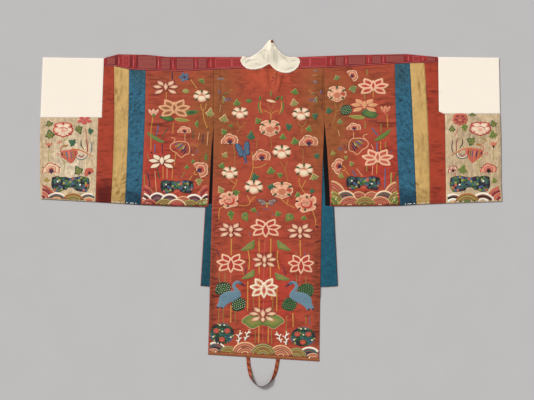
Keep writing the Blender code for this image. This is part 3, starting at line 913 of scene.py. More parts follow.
def curve(*places: complex, closed: bool = False, steps: int = 5) -> Path:
    """A smooth line through these places.

    Args:
        places: the places, in order.
        closed: whether the line runs back to its first place.
        steps: how many steps it takes from each place to the next.

    Returns:
        The places along the line.
    """
    knots = np.array(places, complex)
    first = np.arange(len(knots) if closed else len(knots) - 1)
    around = first[:, None] + np.array([-1, 0, 1, 2])
    around = around % len(knots) if closed else np.clip(around, 0, len(knots) - 1)
    a, b, c, d = (knots[around[:, k]][:, None] for k in range(4))
    t = (np.arange(steps) / steps)[None, :]
    line = spline(a, b, c, d, t)
    return line.ravel() if closed else np.append(line.ravel(), knots[-1])


def petal(root: complex, tip: complex, width: float, belly: float = 0.5, point: float = 1.0) -> Path:
    """The outline of a petal.

    Args:
        root: where it starts.
        tip: where it ends.
        width: its greatest width.
        belly: the share of its length at which it is widest.
        point: below 1 for blunt ends, above 1 for sharp ones.

    Returns:
        The places round the petal.
    """
    axis = tip - root
    t = (1.0 - np.cos(np.linspace(0.0, math.pi, 10))) / 2.0
    half = 0.5 * width * np.sin(math.pi * t ** (math.log(0.5) / math.log(belly))) ** point
    side = 1j * axis / abs(axis) * half
    middle = root + axis * t
    return np.concatenate([(middle + side)[:-1], (middle - side)[:0:-1]])


def oval(
    centre: complex, half_width: float, half_height: float, scallops: int = 0, depth: float = 0.1
) -> Path:
    """The outline of an oval, with a number of scallops round it.

    Args:
        centre: its middle.
        half_width: its reach to each side.
        half_height: its reach up and down.
        scallops: how many scallops it has.
        depth: how deep they cut in, as a share of the reach.

    Returns:
        The places round the oval.
    """
    angle = np.linspace(0.0, 2.0 * math.pi, max(16, 5 * scallops), endpoint=False)
    reach = 1.0 - depth + depth * np.abs(np.sin(scallops * angle / 2.0)) if scallops else 1.0
    return centre + reach * (half_width * np.cos(angle) + 1j * half_height * np.sin(angle))


def arc(centre: complex, radius: float, start: float, end: float, steps: int = 14) -> Path:
    """Part of a circle between two angles in degrees."""
    return centre + radius * np.exp(1j * np.radians(np.linspace(start, end, steps)))


def flip(spot: complex, side: int) -> complex:
    """A place, mirrored where side is -1."""
    return complex(side * spot.real, spot.imag)


def polar(reach: float, angle: float) -> complex:
    """A place at an angle in degrees and a distance."""
    return complex(reach * math.cos(math.radians(angle)), reach * math.sin(math.radians(angle)))


# The motifs, each stitched by the Needle method of its own name
Kind = Enum(
    "Kind",
    "WHITE_PEONY FRONTAL_PEONY SIDE_PEONY ROUND_PEONY OUTLINED_LOTUS FILLED_LOTUS OPEN_LOTUS "
    "CUP_LOTUS LEAF LONG_LEAF LOTUS_LEAF WIDE_LEAF LATTICE_LEAF POD BUDS TULIP BUTTERFLY "
    "SPREAD_BUTTERFLY WORN_BUTTERFLY CRANE CLUMP SPRIG ROCK PHOENIX STAR_FLOWER PATCH BIRD "
    "BLADE CELL",
)


class Motif(NamedTuple):
    """One motif: its middle, its size, its turn in degrees, and its tones. A width below 0 mirrors it."""

    kind: Kind
    x: float
    y: float
    width: float
    height: float
    turn: float = 0.0
    tones: tuple[Tone, ...] = ()

    def at(self, places: Path | complex) -> Path:
        """Takes places in the motif's own frame, which runs from -1 to 1 both ways, onto the cloth.

        Args:
            places: places in the motif's frame.

        Returns:
            The places on the cloth.
        """
        places = np.atleast_1d(np.asarray(places, complex))
        sized = places.real * self.width / 2 + 1j * places.imag * self.height / 2
        return complex(self.x, self.y) + sized * np.exp(1j * math.radians(self.turn))


class Stem(NamedTuple):
    """A stitched line through these places."""

    tone: Tone
    width: float
    places: tuple[complex, ...]


class Wave(NamedTuple):
    """Half rings round one middle, from the outermost tone to the innermost."""

    x: float
    y: float
    radius: float
    tones: tuple[Tone, ...]


def many(kind: Kind, tones: tuple[Tone, ...], *rows: tuple[float, ...]) -> list[Motif]:
    """Motifs of one kind and tones, from rows of x, y, width, height and, where it leans, turn."""
    return [Motif(kind, *row[:4], row[4] if len(row) > 4 else 0.0, tones) for row in rows]


@dataclass(frozen=True)
class Pattern:
    """What is stitched on one piece of cloth, from the bottom up."""

    stems: tuple[Stem, ...] = ()
    waves: tuple[Wave, ...] = ()
    motifs: tuple[Motif, ...] = ()


@dataclass(frozen=True)
class ThreadFinish:
    """Silk floss in satin stitch: fine ridges along the threads and a soft shine."""

    name: str = "silk_floss"
    roughness: float = 0.46
    thread: float = 0.9
    relief: float = 0.12

    def material(self) -> bpy.types.Material:
        """The finish as a material, made once.

        Returns:
            The material.
        """
        made = bpy.data.materials.get(self.name)
        if made:
            return made
        bench = NodeBench(self.name)
        dye = bench.add("Attribute", {"attribute_name": "dye"}).outputs["Color"]
        across = bench.add("Attribute", {"attribute_name": "across"}).outputs["Fac"]
        place = bench.add("TexCoord").outputs["Object"]
        fray = bench.noise(place, 420.0, 3.0)
        turn = bench.math("ADD", bench.math("MULTIPLY", across, 2 * math.pi / self.thread), fray)
        ridge = bench.math("MULTIPLY", bench.math("ADD", bench.math("SINE", turn), 1.0), 0.5)
        colour = bench.shade(dye, bench.ranged(fray, 0.93, 1.07))
        # Painted shade and light along the thread ridges, one hundredth either way
        colour = bench.shade(colour, bench.ranged(ridge, 0.99, 1.01))
        rough = bench.ranged(fray, self.roughness - 0.06, self.roughness + 0.06)
        bench.surface(colour, rough, ridge, self.relief * MM)
        bench.shader.inputs["Sheen Weight"].default_value = 0.15
        bench.shader.inputs["Specular IOR Level"].default_value = 0.35
        return bench.material


@dataclass
class Embroidery:
    """Stitched shapes that lie on a piece's top, gathered into one mesh.

    Each shape has a sunk rim and a padded middle, and level says how many shapes it lies on.
    """

    name: str
    ground: Callable[[Numbers, Numbers], Numbers]
    sunk: float = -0.15
    padding: float = 0.5
    step: float = 0.22
    within: Callable[[Numbers, Numbers], Numbers] = lambda x, y: x == x
    finish: ThreadFinish = ThreadFinish()
    places: list[Path] = field(default_factory=list)
    lifts: list[Numbers] = field(default_factory=list)
    tones: list[Numbers] = field(default_factory=list)
    across: list[Numbers] = field(default_factory=list)
    faces: list[tuple[int, ...]] = field(default_factory=list)
    count: int = 0

    def _add(self, rings: Path, lifts: Numbers, tones: Numbers, across: Numbers, closed: bool) -> int:
        """Adds rows of places and joins each row to the next.

        Args:
            rings: the places, one row for each ring or line.
            lifts: their heights above the cloth.
            tones: their colours.
            across: their distance across the threads, in mm.
            closed: whether each row runs back to its start.

        Returns:
            The index of the first place.
        """
        rows, columns = rings.shape
        first, self.count = self.count, self.count + rings.size
        self.places.append(rings.ravel())
        self.lifts.append(np.broadcast_to(lifts, rings.shape).ravel())
        self.tones.append(np.broadcast_to(tones, (*rings.shape, 3)).reshape(-1, 3))
        self.across.append(np.broadcast_to(across, rings.shape).ravel())
        for row in range(rows - 1):
            for column in range(columns if closed else columns - 1):
                here, beside = first + row * columns, (column + 1) % columns
                corners = (here + column, here + beside, here + columns + beside, here + columns + column)
                self.faces.append(corners)
        return first

    def fill(
        self, outline: Path, rim: Tone, core: Tone | None = None, level: float = 0, grain: float = 90.0
    ) -> None:
        """Fills an outline.

        Args:
            outline: the places round it, which all have to be in sight from its middle.
            rim: its tone.
            core: the tone towards its middle, if that differs.
            level: how many shapes it lies on.
            grain: the direction of its threads, in degrees.
        """
        middle = outline.mean()
        shares = np.array([1.0, 0.93, 0.72, 0.36])[:, None]
        rings = middle + (outline - middle) * shares
        high = self.padding + self.step * level
        lifts = np.array([self.sunk, high - 0.12, high, high + 0.06])[:, None]
        inner = (core or rim).linear
        tones = np.stack([mix(rim.linear, inner, share) for share in (0.0, 0.0, 0.35, 0.9)])[:, None, :]
        across = (rings * np.exp(-1j * math.radians(grain))).imag
        if self._area(outline) < 0:
            rings, across = rings[:, ::-1], across[:, ::-1]
        first = self._add(rings, lifts, tones, across, True)
        last = len(outline)
        turned = (middle * np.exp(-1j * math.radians(grain))).imag
        self._add(np.array([[middle]]), high + 0.08, inner, turned, True)
        innermost, peak = first + 3 * last, first + 4 * last
        self.faces += [(innermost + i, innermost + (i + 1) % last, peak) for i in range(last)]

    def line(
        self, path: Path, width: float | Numbers, tone: Tone, level: float = 0, closed: bool = False
    ) -> None:
        """Stitches a line.

        Args:
            path: the places along it.
            width: its width, or one for each place.
            tone: its tone.
            level: how many shapes it lies on.
            closed: whether it runs back to its start.
        """
        behind = np.roll(path, 1) if closed else np.concatenate([path[:1], path[:-1]])
        ahead = np.roll(path, -1) if closed else np.concatenate([path[1:], path[-1:]])
        along = ahead - behind
        side = 1j * along / np.maximum(np.abs(along), 1e-9) * width
        rings = np.stack([path - side * share for share in (0.5, 0.3, 0.0, -0.3, -0.5)])
        high = self.padding + self.step * level
        lifts = np.tile(np.array([self.sunk, high - 0.08, high, high - 0.08, self.sunk])[:, None], len(path))
        if not closed:
            lifts[:, [0, -1]] = self.sunk
        run = np.concatenate([[0.0], np.cumsum(np.abs(np.diff(path)))])
        self._add(rings[::-1], lifts[::-1], tone.linear, np.tile(run, (5, 1)), closed)

    @staticmethod
    def _area(outline: Path) -> float:
        """The area within an outline, above 0 where it runs anticlockwise."""
        return float((np.conj(outline) * np.roll(outline, -1)).imag.sum() / 2.0)

    def make(self, pattern: Pattern) -> bpy.types.Object:
        """Stitches a pattern.

        Args:
            pattern: its stems, waves and motifs.

        Returns:
            The embroidery, as one object that rides on the robe.
        """
        for stem in pattern.stems:
            self.line(curve(*stem.places), stem.width, stem.tone)
        for layer, wave in enumerate(pattern.waves):
            self.wave(wave, layer)
        for motif in pattern.motifs:
            getattr(Needle(self, motif), motif.kind.name.lower())()
        places, lifts = np.concatenate(self.places), np.concatenate(self.lifts)
        height = self.ground(places.real, places.imag) + lifts
        mesh = bpy.data.meshes.new(self.name)
        spots = np.stack([places.real, places.imag, height], axis=1) * MM
        mesh.from_pydata(spots.tolist(), [], self.faces)
        dye = np.ones((len(places), 4))
        dye[:, :3] = np.concatenate(self.tones)
        mesh.color_attributes.new("dye", "FLOAT_COLOR", "POINT").data.foreach_set("color", dye.ravel())
        across = mesh.attributes.new("across", "FLOAT", "POINT")
        across.data.foreach_set("value", np.concatenate(self.across))
        mesh.shade_smooth()
        mesh.materials.append(self.finish.material())
        piece = bpy.data.objects.new(self.name, mesh)
        bpy.context.scene.collection.objects.link(piece)
        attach(piece, "root")
        LOG.info("%s: %d faces", self.name, len(self.faces))
        return piece

    def wave(self, w: Wave, layer: int) -> None:
        """Stitches nested arcs over a brown ground, as far as they lie within the cloth.

        Args:
            w: the wave.
            layer: how many waves it may lie on.
        """
        band, centre = w.radius / (len(w.tones) + 0.5), complex(w.x, w.y)
        ring, core = (self._kept(arc(centre, share * w.radius, 0, 180, 31)) for share in (0.98, 0.1))
        if len(ring) > 2:
            self.fill(np.concatenate([ring, core[::-1]]), Tone.WAVE_SHADE, None, layer)
        for number, tone in enumerate(w.tones):
            path = self._kept(arc(centre, w.radius - band * (number + 0.5), 0, 180, 31))
            if len(path) > 2:
                self.line(path, band * 0.96, tone, layer + 0.5 + 0.3 * (number % 2))

    def _kept(self, path: Path) -> Path:
        """The places of a path that lie within the cloth."""
        return path[self.within(path.real, path.imag)]


@dataclass
class Needle:
    """Stitches one motif, with its places in a frame that runs from -1 to 1 both ways."""

    work: Embroidery
    motif: Motif

    def fill(self, outline: Path, *style: object) -> None:
        """Fills an outline in the tones, level and grain that Embroidery.fill takes."""
        self.work.fill(self.motif.at(outline), *style)

    def line(self, path: Path, *style: object) -> None:
        """Stitches a line in the width, tone and level that Embroidery.line takes."""
        self.work.line(self.motif.at(path), *style)

    def palette(self, *usual: Tone) -> tuple[Tone, ...]:
        """The motif's own tones, or the usual ones of its kind."""
        return self.motif.tones or usual

    def _slits(self, tone: Tone, slits: tuple[tuple[float, float, float], ...]) -> None:
        """Short dark wedges between petals, from rows of angle, start and end.

        Args:
            tone: their tone.
            slits: angle in degrees, start and end of each.
        """
        for angle, start, end in slits:
            wedge = petal(polar(start, angle), polar(end, angle), 0.21, 0.6, 0.7)
            self.fill(wedge, tone, None, 3.2, angle)

    def white_peony(self) -> None:
        """Five joined cream petals, the lowest the widest, with a pink heart and dark slits between them."""
        rim, core, slit = self.palette(Tone.CREAM, Tone.TAN_ROSE, Tone.DARK_LEAF)
        self.fill(oval(0.05j, 0.66, 0.66), core, core)
        for angle, wide, high in ((126, 0.45, 0.42), (54, 0.45, 0.42), (184, 0.41, 0.44), (-4, 0.41, 0.44)):
            centre = polar(0.56, angle)
            level = 0.5 + 0.3 * (angle % 4)
            self.fill(oval(centre, wide, high, 5, 0.14), Tone.BLUSH, rim, level, angle)
            self.fill(oval(1.1 * centre, 0.56 * wide, 0.56 * high), rim, Tone.PALE_CREAM, 1.4, angle)
        self.fill(oval(-0.4j, 0.56, 0.54, 5, 0.14), Tone.BLUSH, rim, 1.5)
        self.fill(oval(-0.36j, 0.44, 0.38), rim, Tone.PALE_CREAM, 2.0)
        self.line(arc(0.02j, 0.26, 20, 160, 10), 3.0, core, 2.4)
        slits = ((90, 0.3, 1.0), (28, 0.34, 1.0), (152, 0.34, 1.0), (218, 0.46, 1.02), (322, 0.46, 1.02))
        self._slits(slit, slits)

    def frontal_peony(self) -> None:
        """A rose flower with thin pale scalloped rims, dark slits and a dome in its middle."""
        rim, fill, core, slit = self.palette(Tone.SHELL, Tone.TAN_ROSE, Tone.SALMON, Tone.DARK_LEAF)
        petals = (
            (126, 0.54, 0.48), (54, 0.54, 0.48), (186, 0.44, 0.5), (-6, 0.44, 0.5),
            (230, 0.5, 0.42), (310, 0.5, 0.42), (270, 0.5, 0.48),
        )
        for number, (angle, wide, high) in enumerate(petals):
            centre, level = polar(0.54, angle), 0.45 * (number % 3)
            self.fill(oval(centre, wide, high, 6, 0.13), rim, rim, level, angle)
            inner = core if self.motif.tones else Tone.FLOWER_RED if angle == -6 else rim
            self.fill(oval(centre * 0.94, 0.82 * wide, 0.8 * high), fill, inner, level + 0.9, angle)
        self.fill(oval(-0.1j, 0.46, 0.46, 7, 0.16), rim, rim, 2.2)
        self.fill(oval(-0.16j, 0.41, 0.42, 7, 0.16), core, fill, 2.9)
        slits = ((90, 0.5, 0.96), (30, 0.5, 1.0), (150, 0.5, 1.0), (222, 0.52, 1.0), (318, 0.52, 1.0))
        self._slits(slit, slits)

    def side_peony(self) -> None:
        """A flower seen from its side: a broad scalloped arch and a small dome over a dark star."""
        rim, core, star = self.palette(Tone.SHELL, Tone.TAN_ROSE, Tone.PURPLE)
        foot = -0.42j
        angles = np.linspace(-12, 192, 41)
        scallop = 0.85 + 0.15 * np.abs(np.sin(np.radians(angles * 2.5 + 8)))
        outer = foot + scallop * (np.cos(np.radians(angles)) + 1.2j * np.sin(np.radians(angles)))
        self.fill(np.append(outer, foot), core, core, 0.2)
        self.line(outer, 4.6, rim, 1.2)
        self.line(np.array([outer[-1], foot, outer[0]]), 3.0, rim, 1.2)
        dome = foot + oval(0.3j, 0.58, 0.5, 5, 0.16)
        self.fill(dome, core, Tone.FLOWER_RED, 1.4)
        self.line(dome, 3.8, rim, 2.0, True)
        self.fill(foot + oval(0.16j, 0.26, 0.24), Tone.MAROON, Tone.MAROON, 2.6)
        for angle in (90, 180, 0, 270, 45, 135):
            shape = petal(foot + 0.04j, foot + polar(0.34, angle), 0.26, 0.4)
            self.fill(shape, star, None, 3.8, angle)
        for angle in (112, 68, 30, 150):
            shape = petal(foot + polar(1.0, angle), foot + polar(1.24, angle), 0.13, 0.6)
            self.fill(shape, Tone.DARK_LEAF, None, 1.8, angle)

    def round_peony(self) -> None:
        """A full flower: joined petals with pale rims round a red hollow and a curl of petals in it."""
        rim, core, hollow = self.palette(Tone.SHELL, Tone.SALMON, Tone.FLOWER_RED)
        petals = (
            (30, 0.5, 0.46), (82, 0.46, 0.4), (140, 0.5, 0.42), (198, 0.46, 0.46), (252, 0.5, 0.44),
            (318, 0.52, 0.42),
        )
        for number, (angle, wide, high) in enumerate(petals):
            shape = oval(polar(0.52, angle), wide, high, 5, 0.12)
            self.fill(shape, rim, core, 0.35 * (number % 3), angle)
            self.line(shape, 3.2, rim, 0.7 + 0.35 * (number % 3), True)
        self.fill(oval(-0.02j, 0.58, 0.52), core, core, 1.9)
        self.line(arc(0.06-0.04j, 0.44, 150, 400, 17), 0.12 * abs(self.motif.width), hollow, 2.6)
        for spot, wide, turn in ((-0.2+0.24j, 0.34, 30), (0.12+0.12j, 0.3, 120), (-0.04-0.16j, 0.34, 0)):
            shape = spot + oval(0, wide, 0.2, 3, 0.12) * polar(1.0, turn)
            self.fill(shape, rim, core, 3.2, turn)
        self.line(curve(-0.3-0.02j, -0.02+0.04j, 0.2-0.08j), 3.0, Tone.MAROON, 4.4)
        self._slits(Tone.DARK_LEAF, ((84, 0.42, 0.74), (262, 0.48, 0.8)))
        self._slits(Tone.MAROON, ((56, 0.62, 1.0), (168, 0.66, 1.0), (350, 0.66, 1.0), (222, 0.66, 0.98)))

    def _lotus(self, petals: tuple[tuple[complex, complex, float], ...], style: Callable) -> None:
        """Draws petals on both sides, from rows of root, tip and width, each in the same style.

        Args:
            petals: the root, tip and width of each.
            style: the method that draws one petal.
        """
        for level, (root, tip, width) in enumerate(petals):
            for side in (-1, 1):
                style(flip(root, side), flip(tip, side), width, 0.4 * level)

    def _outline_petal(self, root: complex, tip: complex, width: float, level: float) -> None:
        """A pointed petal in outline, red inside.

        Args:
            root: where it starts.
            tip: where it ends.
            width: its greatest width.
            level: how many shapes it lies on.
        """
        rim, fill, core = self.palette(Tone.SHELL, Tone.DEEP_ROSE, Tone.FLOWER_RED)
        shape = petal(root, tip, width, 0.5, 1.12)
        self.fill(shape, fill, core, level)
        self.line(shape, 0.077 * abs(self.motif.width), rim, level + 0.7, True)

    def _solid_petal(self, root: complex, tip: complex, width: float, level: float) -> None:
        """A pointed petal, pink at its edge and pale in its middle, in a dark red border that is partly a
        real outline and partly painted shadow round the petal.

        Args:
            root: where it starts.
            tip: where it ends.
            width: its greatest width.
            level: how many shapes it lies on.
        """
        tone, core, border = self.palette(Tone.CORAL, Tone.CREAM, Tone.MAROON)
        axis = tip - root
        grain = math.degrees(math.atan2(axis.imag, axis.real))
        # The border: partly a real outline, partly painted shadow round the petal
        around = petal(root - 0.06 * axis, tip + 0.07 * axis, width + 0.12, 0.52, 1.1)
        self.fill(around, border, None, level)
        self.fill(petal(root, tip, width, 0.54, 1.05), tone, core, level + 1.0, grain)

    def outlined_lotus(self) -> None:
        """Pointed petals in outline, three on each side of a hanging one, with red inside."""
        petals = ((0.1-0.1j, 0.84-0.8j, 0.5), (0.06+0.04j, 0.62+0.92j, 0.5), (0.1, 1.0+0.14j, 0.5))
        self._lotus(petals, self._outline_petal)
        self._outline_petal(0.5j, -1.0j, 0.42, 1.4)

    def open_lotus(self) -> None:
        """Pointed petals in outline, three on each side of an upright one."""
        petals = ((0.08-0.2j, 0.8-0.86j, 0.5), (0.08+0j, 0.6+0.94j, 0.5), (0.1-0.1j, 1.0+0.18j, 0.52))
        self._lotus(petals, self._outline_petal)
        self._outline_petal(-0.5j, 0.66j, 0.3, 1.4)

    def filled_lotus(self) -> None:
        """Pointed filled petals, three on each side of a tall one with a hanging one below it."""
        self._side_petals()
        self._solid_petal(-0.2j, -1.0j, 0.36, 1.4)
        self._solid_petal(-0.56j, 0.72j, 0.4, 2.0)

    def cup_lotus(self) -> None:
        """Pointed filled petals, three on each side of an upright one."""
        self._side_petals()
        self._solid_petal(-0.5j, 0.66j, 0.36, 1.6)

    def _side_petals(self) -> None:
        """The three filled petals on each side."""
        petals = ((0.1-0.22j, 0.86-0.86j, 0.48), (0.12+0.1j, 0.62+0.92j, 0.48), (0.18-0.02j, 1.02+0.16j, 0.5))
        self._lotus(petals, self._solid_petal)

    def leaf(self) -> None:
        """A leaf of pointed lobes with pale edges and veins."""
        tone, core, vein = self.palette(Tone.LEAF, Tone.LEAF, Tone.MOSS)
        lobes = ((1.06j, 0.95), (-1.04-0.2j, 0.78), (1.04-0.2j, 0.78), (-0.5-0.98j, 0.55), (0.5-0.98j, 0.55))
        for tip, width in lobes[:3]:
            self.fill(petal(-0.2 * tip - 0.12j, tip * 1.14, width + 0.2, 0.42), vein, None, 0)
        for level, (tip, width) in enumerate(lobes):
            lobe = petal(-0.2 * tip - 0.12j, tip, width, 0.42)
            self.fill(lobe, tone, core, 0.8 + 0.2 * level, 60 + 15 * level)
        for tip, _ in lobes[:3]:
            self.line(np.array([-0.3j, 0.35 * tip, 0.72 * tip]), 1.6, core, 2.2)

    def long_leaf(self) -> None:
        """A long narrow leaf that curves up from left to right."""
        tone, vein = self.palette(Tone.LEAF, Tone.MOSS)
        spine = curve(-0.98-0.8j, -0.5-0.55j, 0.05-0.1j, 0.55+0.4j, 0.95+0.95j)
        taper = np.sin(np.linspace(0.06, math.pi - 0.06, len(spine))) ** 0.8
        self.line(spine, 0.36 * self.motif.height * taper + 1.0, tone)
        self.line(spine[2:-2], 1.6, vein, 1)

    def lotus_leaf(self) -> None:
        """A lotus leaf from its side, as a wavy three-cornered sail."""
        tone, core, rim = self.palette(Tone.LEAF, Tone.OLIVE, Tone.PALE_LEAF)
        sail = curve(
            -0.98-0.72j, -0.5-0.2j, -0.05+0.3j, 0.4+0.6j, 0.92+0.98j, 0.98+0.3j,
            0.8-0.45j, 0.3-0.6j, -0.3-0.8j, closed=True, steps=3,
        )
        self.fill(sail, tone, core, 0, 40)
        self.line(sail[:14], 2.4, rim, 1)

    def wide_leaf(self) -> None:
        """A wide lotus leaf of two lobes with a pale rim."""
        tone, core, rim = self.palette(Tone.LEAF, Tone.OLIVE, Tone.PEACH)
        half = (
            0.02+0.3j, 0.4+0.75j, 0.7+0.6j, 0.92+0.25j, 0.99-0.15j, 0.8-0.5j, 0.5-0.98j, 0.2-0.62j, -0.5j,
        )
        for side in (-1, 1):
            lobe = curve(*(flip(spot, side) for spot in half), closed=True, steps=3)
            self.fill(lobe, tone, core, 0.2 * (side + 1), 20)
            self.line(lobe[3:22], 2.6, rim, 1)

    def lattice_leaf(self) -> None:
        """A broad leaf with a net of pale crosses over it."""
        tone, core, net = self.palette(Tone.BOTTLE, Tone.DARK_LEAF, Tone.PALE_MOSS)
        shape = curve(
            -0.9-0.7j, -0.98+0.1j, -0.6+0.85j, 0.1+0.98j, 0.75+0.7j, 0.98, 0.6-0.75j, -0.1-0.98j,
            closed=True, steps=3,
        )
        self.fill(shape, tone, core)
        for row in range(-3, 4):
            for column in range(-3, 4):
                spot = complex(0.29 * column + 0.14 * (row % 2), 0.29 * row)
                if abs(spot) < 0.88:
                    self.fill(oval(spot, 0.055, 0.075), net, None, 0.5)

    def pod(self) -> None:
        """A seed pod: a green cone with a pale dotted face."""
        tone, core, face = self.palette(Tone.LEAF, Tone.OLIVE, Tone.PALE_LEAF)
        cone = (-0.7+0.3j, 0.1+0.95j, 0.85+0.5j, 0.55-0.4j, 0.1-0.98j, -0.5-0.4j)
        self.fill(curve(*cone, closed=True, steps=3), tone, core)
        self.fill(oval(0.05+0.42j, 0.55, 0.36), face, tone, 1)
        for angle in range(0, 360, 72):
            self.fill(oval(0.05+0.42j + polar(0.26, angle), 0.08, 0.07), Tone.DARK_LEAF, None, 2)

    def buds(self) -> None:
        """A cluster of opening buds on forked stems."""
        for side in (-1, 1):
            for share, tone, width in ((0.0, Tone.LEAF, 5.0), (0.14, Tone.GOLD, 3.2)):
                spine = curve(
                    flip(0.96 - share + 0.25j, side), flip(1.0 - share - 0.2j, side),
                    flip(0.78 - share - 0.62j, side),
                )
                taper = np.sin(np.linspace(0.2, math.pi - 0.2, len(spine)))
                self.line(spine, width * taper + 1.2, tone, share * 5)
            self.fill(petal(flip(0.85+0.28j, side), flip(0.9+0.62j, side), 0.2), Tone.LEAF)
            stalk = curve(-0.98j, -0.72j, flip(0.2-0.5j, side), flip(0.62-0.38j, side))
            self.line(stalk, 2.4, Tone.GOLD)
            self.line(curve(-0.6j, flip(0.12-0.2j, side), flip(0.3+0.1j, side)), 2.2, Tone.OCHRE)
        self.fill(petal(-0.4+0.32j, 0.5+0.16j, 0.2, 0.4), Tone.PEACH, Tone.CREAM, 1, 0)
        self.fill(petal(0.35+0.28j, 0.72+0.6j, 0.18), Tone.LEAF, Tone.DARK_LEAF, 1)
        self.fill(petal(0.5j, 1j, 0.14), Tone.OLIVE, Tone.LEAF)
        self.line(np.array([0.5j, 0.35j]), 1.6, Tone.OLIVE)

    def tulip(self) -> None:
        """An upright bud of three narrow petals."""
        rim, core, base = self.palette(Tone.CREAM, Tone.PINK, Tone.LEAF)
        for tip, width in ((-0.8+0.9j, 0.5), (0.8+0.9j, 0.5), (0.98j, 0.6)):
            self.fill(petal(-0.8j, tip, width, 0.6), rim, core, 0.4 * (tip.real == 0))
        self.fill(petal(-0.98j, 0.1j, 0.5), base, None, 1)

    def butterfly(self) -> None:
        """A butterfly with raised wings over a slender body and a forked tail."""
        wing, inner, line = self.palette(Tone.STEEL, Tone.CRANE_SHADE, Tone.NAVY)
        for side in (-1, 1):
            wings = ((-0.3j, 0.86+1.0j, 0.72), (-0.2j, 0.8+0.1j, 0.5))
            for level, (root, tip, width) in enumerate(wings):
                tip = flip(tip, side)
                self.fill(petal(root, 1.04 * tip, width + 0.12, 0.62, 0.8), line, None, 0.2 * level)
                self.fill(petal(root, tip, width, 0.62, 0.8), wing, inner, 0.9 + 0.2 * level)
            self.line(curve(-0.2j, flip(0.34+0.3j, side), flip(0.66+0.76j, side)), 1.8, line, 2)
            self.line(curve(-0.6j, flip(0.1-0.8j, side), flip(0.24-1.0j, side)), 4.0, wing, 1.2)
        self.fill(petal(0.3j, -0.94j, 0.46, 0.5), line, None, 1.4)
        self.fill(petal(0.26j, -0.86j, 0.34, 0.5), wing, inner, 2.0)

    def spread_butterfly(self) -> None:
        """A butterfly with its wings spread: pale wings with dark ribs and a golden body."""
        wing, inner, line = self.palette(Tone.CUFF_SHADE, Tone.MAUVE, Tone.NAVY)
        for side in (-1, 1):
            for tip, width in ((1.0+0.85j, 0.56), (0.72-0.1j, 0.44)):
                tip = flip(tip, side)
                self.fill(petal(0.1j, tip, width + 0.16, 0.6, 0.8), line, None, 0.2)
                self.fill(petal(0.1j, tip * 0.93, width, 0.6, 0.8), wing, inner, 1)
            for share in (0.35, 0.55, 0.75):
                rib = complex(side * share, 0.12 + 0.62 * share)
                self.line(np.array([rib - 0.2j, rib, rib + 0.14j]), 1.4, line, 2)
            self.line(curve(0.5j, flip(0.12+0.8j, side), flip(0.3+0.98j, side)), 1.4, line)
            self.line(curve(-0.62j, flip(0.14-0.9j, side), flip(0.4-1.0j, side)), 2.0, Tone.STEEL)
        self.line(curve(0.45j, 0.1j, -0.7j), 5.4, Tone.GOLD, 2)
        self.fill(oval(0.42j, 0.07, 0.16), Tone.NEAR_BLACK, None, 2.6)

    def worn_butterfly(self) -> None:
        """What is left of a worn butterfly: bits of wing and a bow of dark dots."""
        pieces = (
            (-0.9+0.95j, -0.6+0.3j, 0.26, Tone.MAUVE), (-0.15+0.35j, 0.6+0.5j, 0.2, Tone.OLIVE),
            (0.1-0.2j, 0.95-0.42j, 0.26, Tone.MAUVE), (-0.2-0.15j, -0.25-0.9j, 0.2, Tone.OLIVE),
            (-0.35+0.1j, 0.1-0.3j, 0.24, Tone.PALE_LEAF), (-0.2-0.3j, 0.3-0.6j, 0.2, Tone.CRANE_BLUE),
        )
        for root, tip, width, tone in pieces:
            self.fill(petal(root, tip, width), tone)
        for spot in (0.1+0.42j, -0.15+0.3j, -0.4+0.1j, -0.6-0.1j, -0.68-0.35j, 0.3+0.4j, 0.6-0.25j):
            self.fill(oval(spot, 0.08, 0.07), Tone.NAVY, None, 1)
        self.line(curve(0.3+0.6j, 0.7+0.8j, 0.98+0.95j), 1.6, Tone.GOLD)

    def crane(self) -> None:
        """A standing crane: a high rounded body with a stepped tail, a curved neck and a dark bill."""
        tone, shade, dark = self.palette(Tone.CRANE_BLUE, Tone.CRANE_SHADE, Tone.NAVY)
        body = curve(
            0.5+0.32j, 0.3+0.34j, -0.22+0.33j, -0.66+0.18j, -0.88-0.1j, -0.94-0.46j, -1.08-0.78j,
            -0.94-0.86j, -0.78-0.76j, -0.64-0.92j, -0.42-0.66j, -0.06-0.44j, 0.3-0.28j, 0.56-0.1j,
            0.64+0.12j, closed=True, steps=3,
        )
        self.fill(body, tone, tone, 1, 15)
        neck = curve(0.5+0.12j, 0.34+0.36j, 0.14+0.6j, 0.18+0.84j, 0.42+0.95j, 0.6+0.84j)
        self.line(neck, np.linspace(0.14, 0.085, len(neck)) * abs(self.motif.width), tone, 2)
        self.fill(oval(0.54+0.88j, 0.14, 0.11), shade, None, 2.6)
        self.fill(oval(0.56+0.9j, 0.04, 0.04), dark, None, 3.4)
        self.fill(petal(0.58+0.86j, 0.98+0.64j, 0.11, 0.25), dark, None, 2)
        self.line(curve(0.62+0.78j, 0.8+0.62j, 0.9+0.52j), 1.8, Tone.DEEP_ROSE, 1)
        for root in (-0.74, -0.46, -0.2, 0.06):
            self.line(curve(root - 0.42j, root + 0.2 - 0.16j, root + 0.42 - 0.02j), 1.6, shade, 1.7)
        for spot in (-0.7-0.84j, -1.0-0.8j):
            self.fill(oval(spot, 0.08, 0.06), dark, None, 1.5)

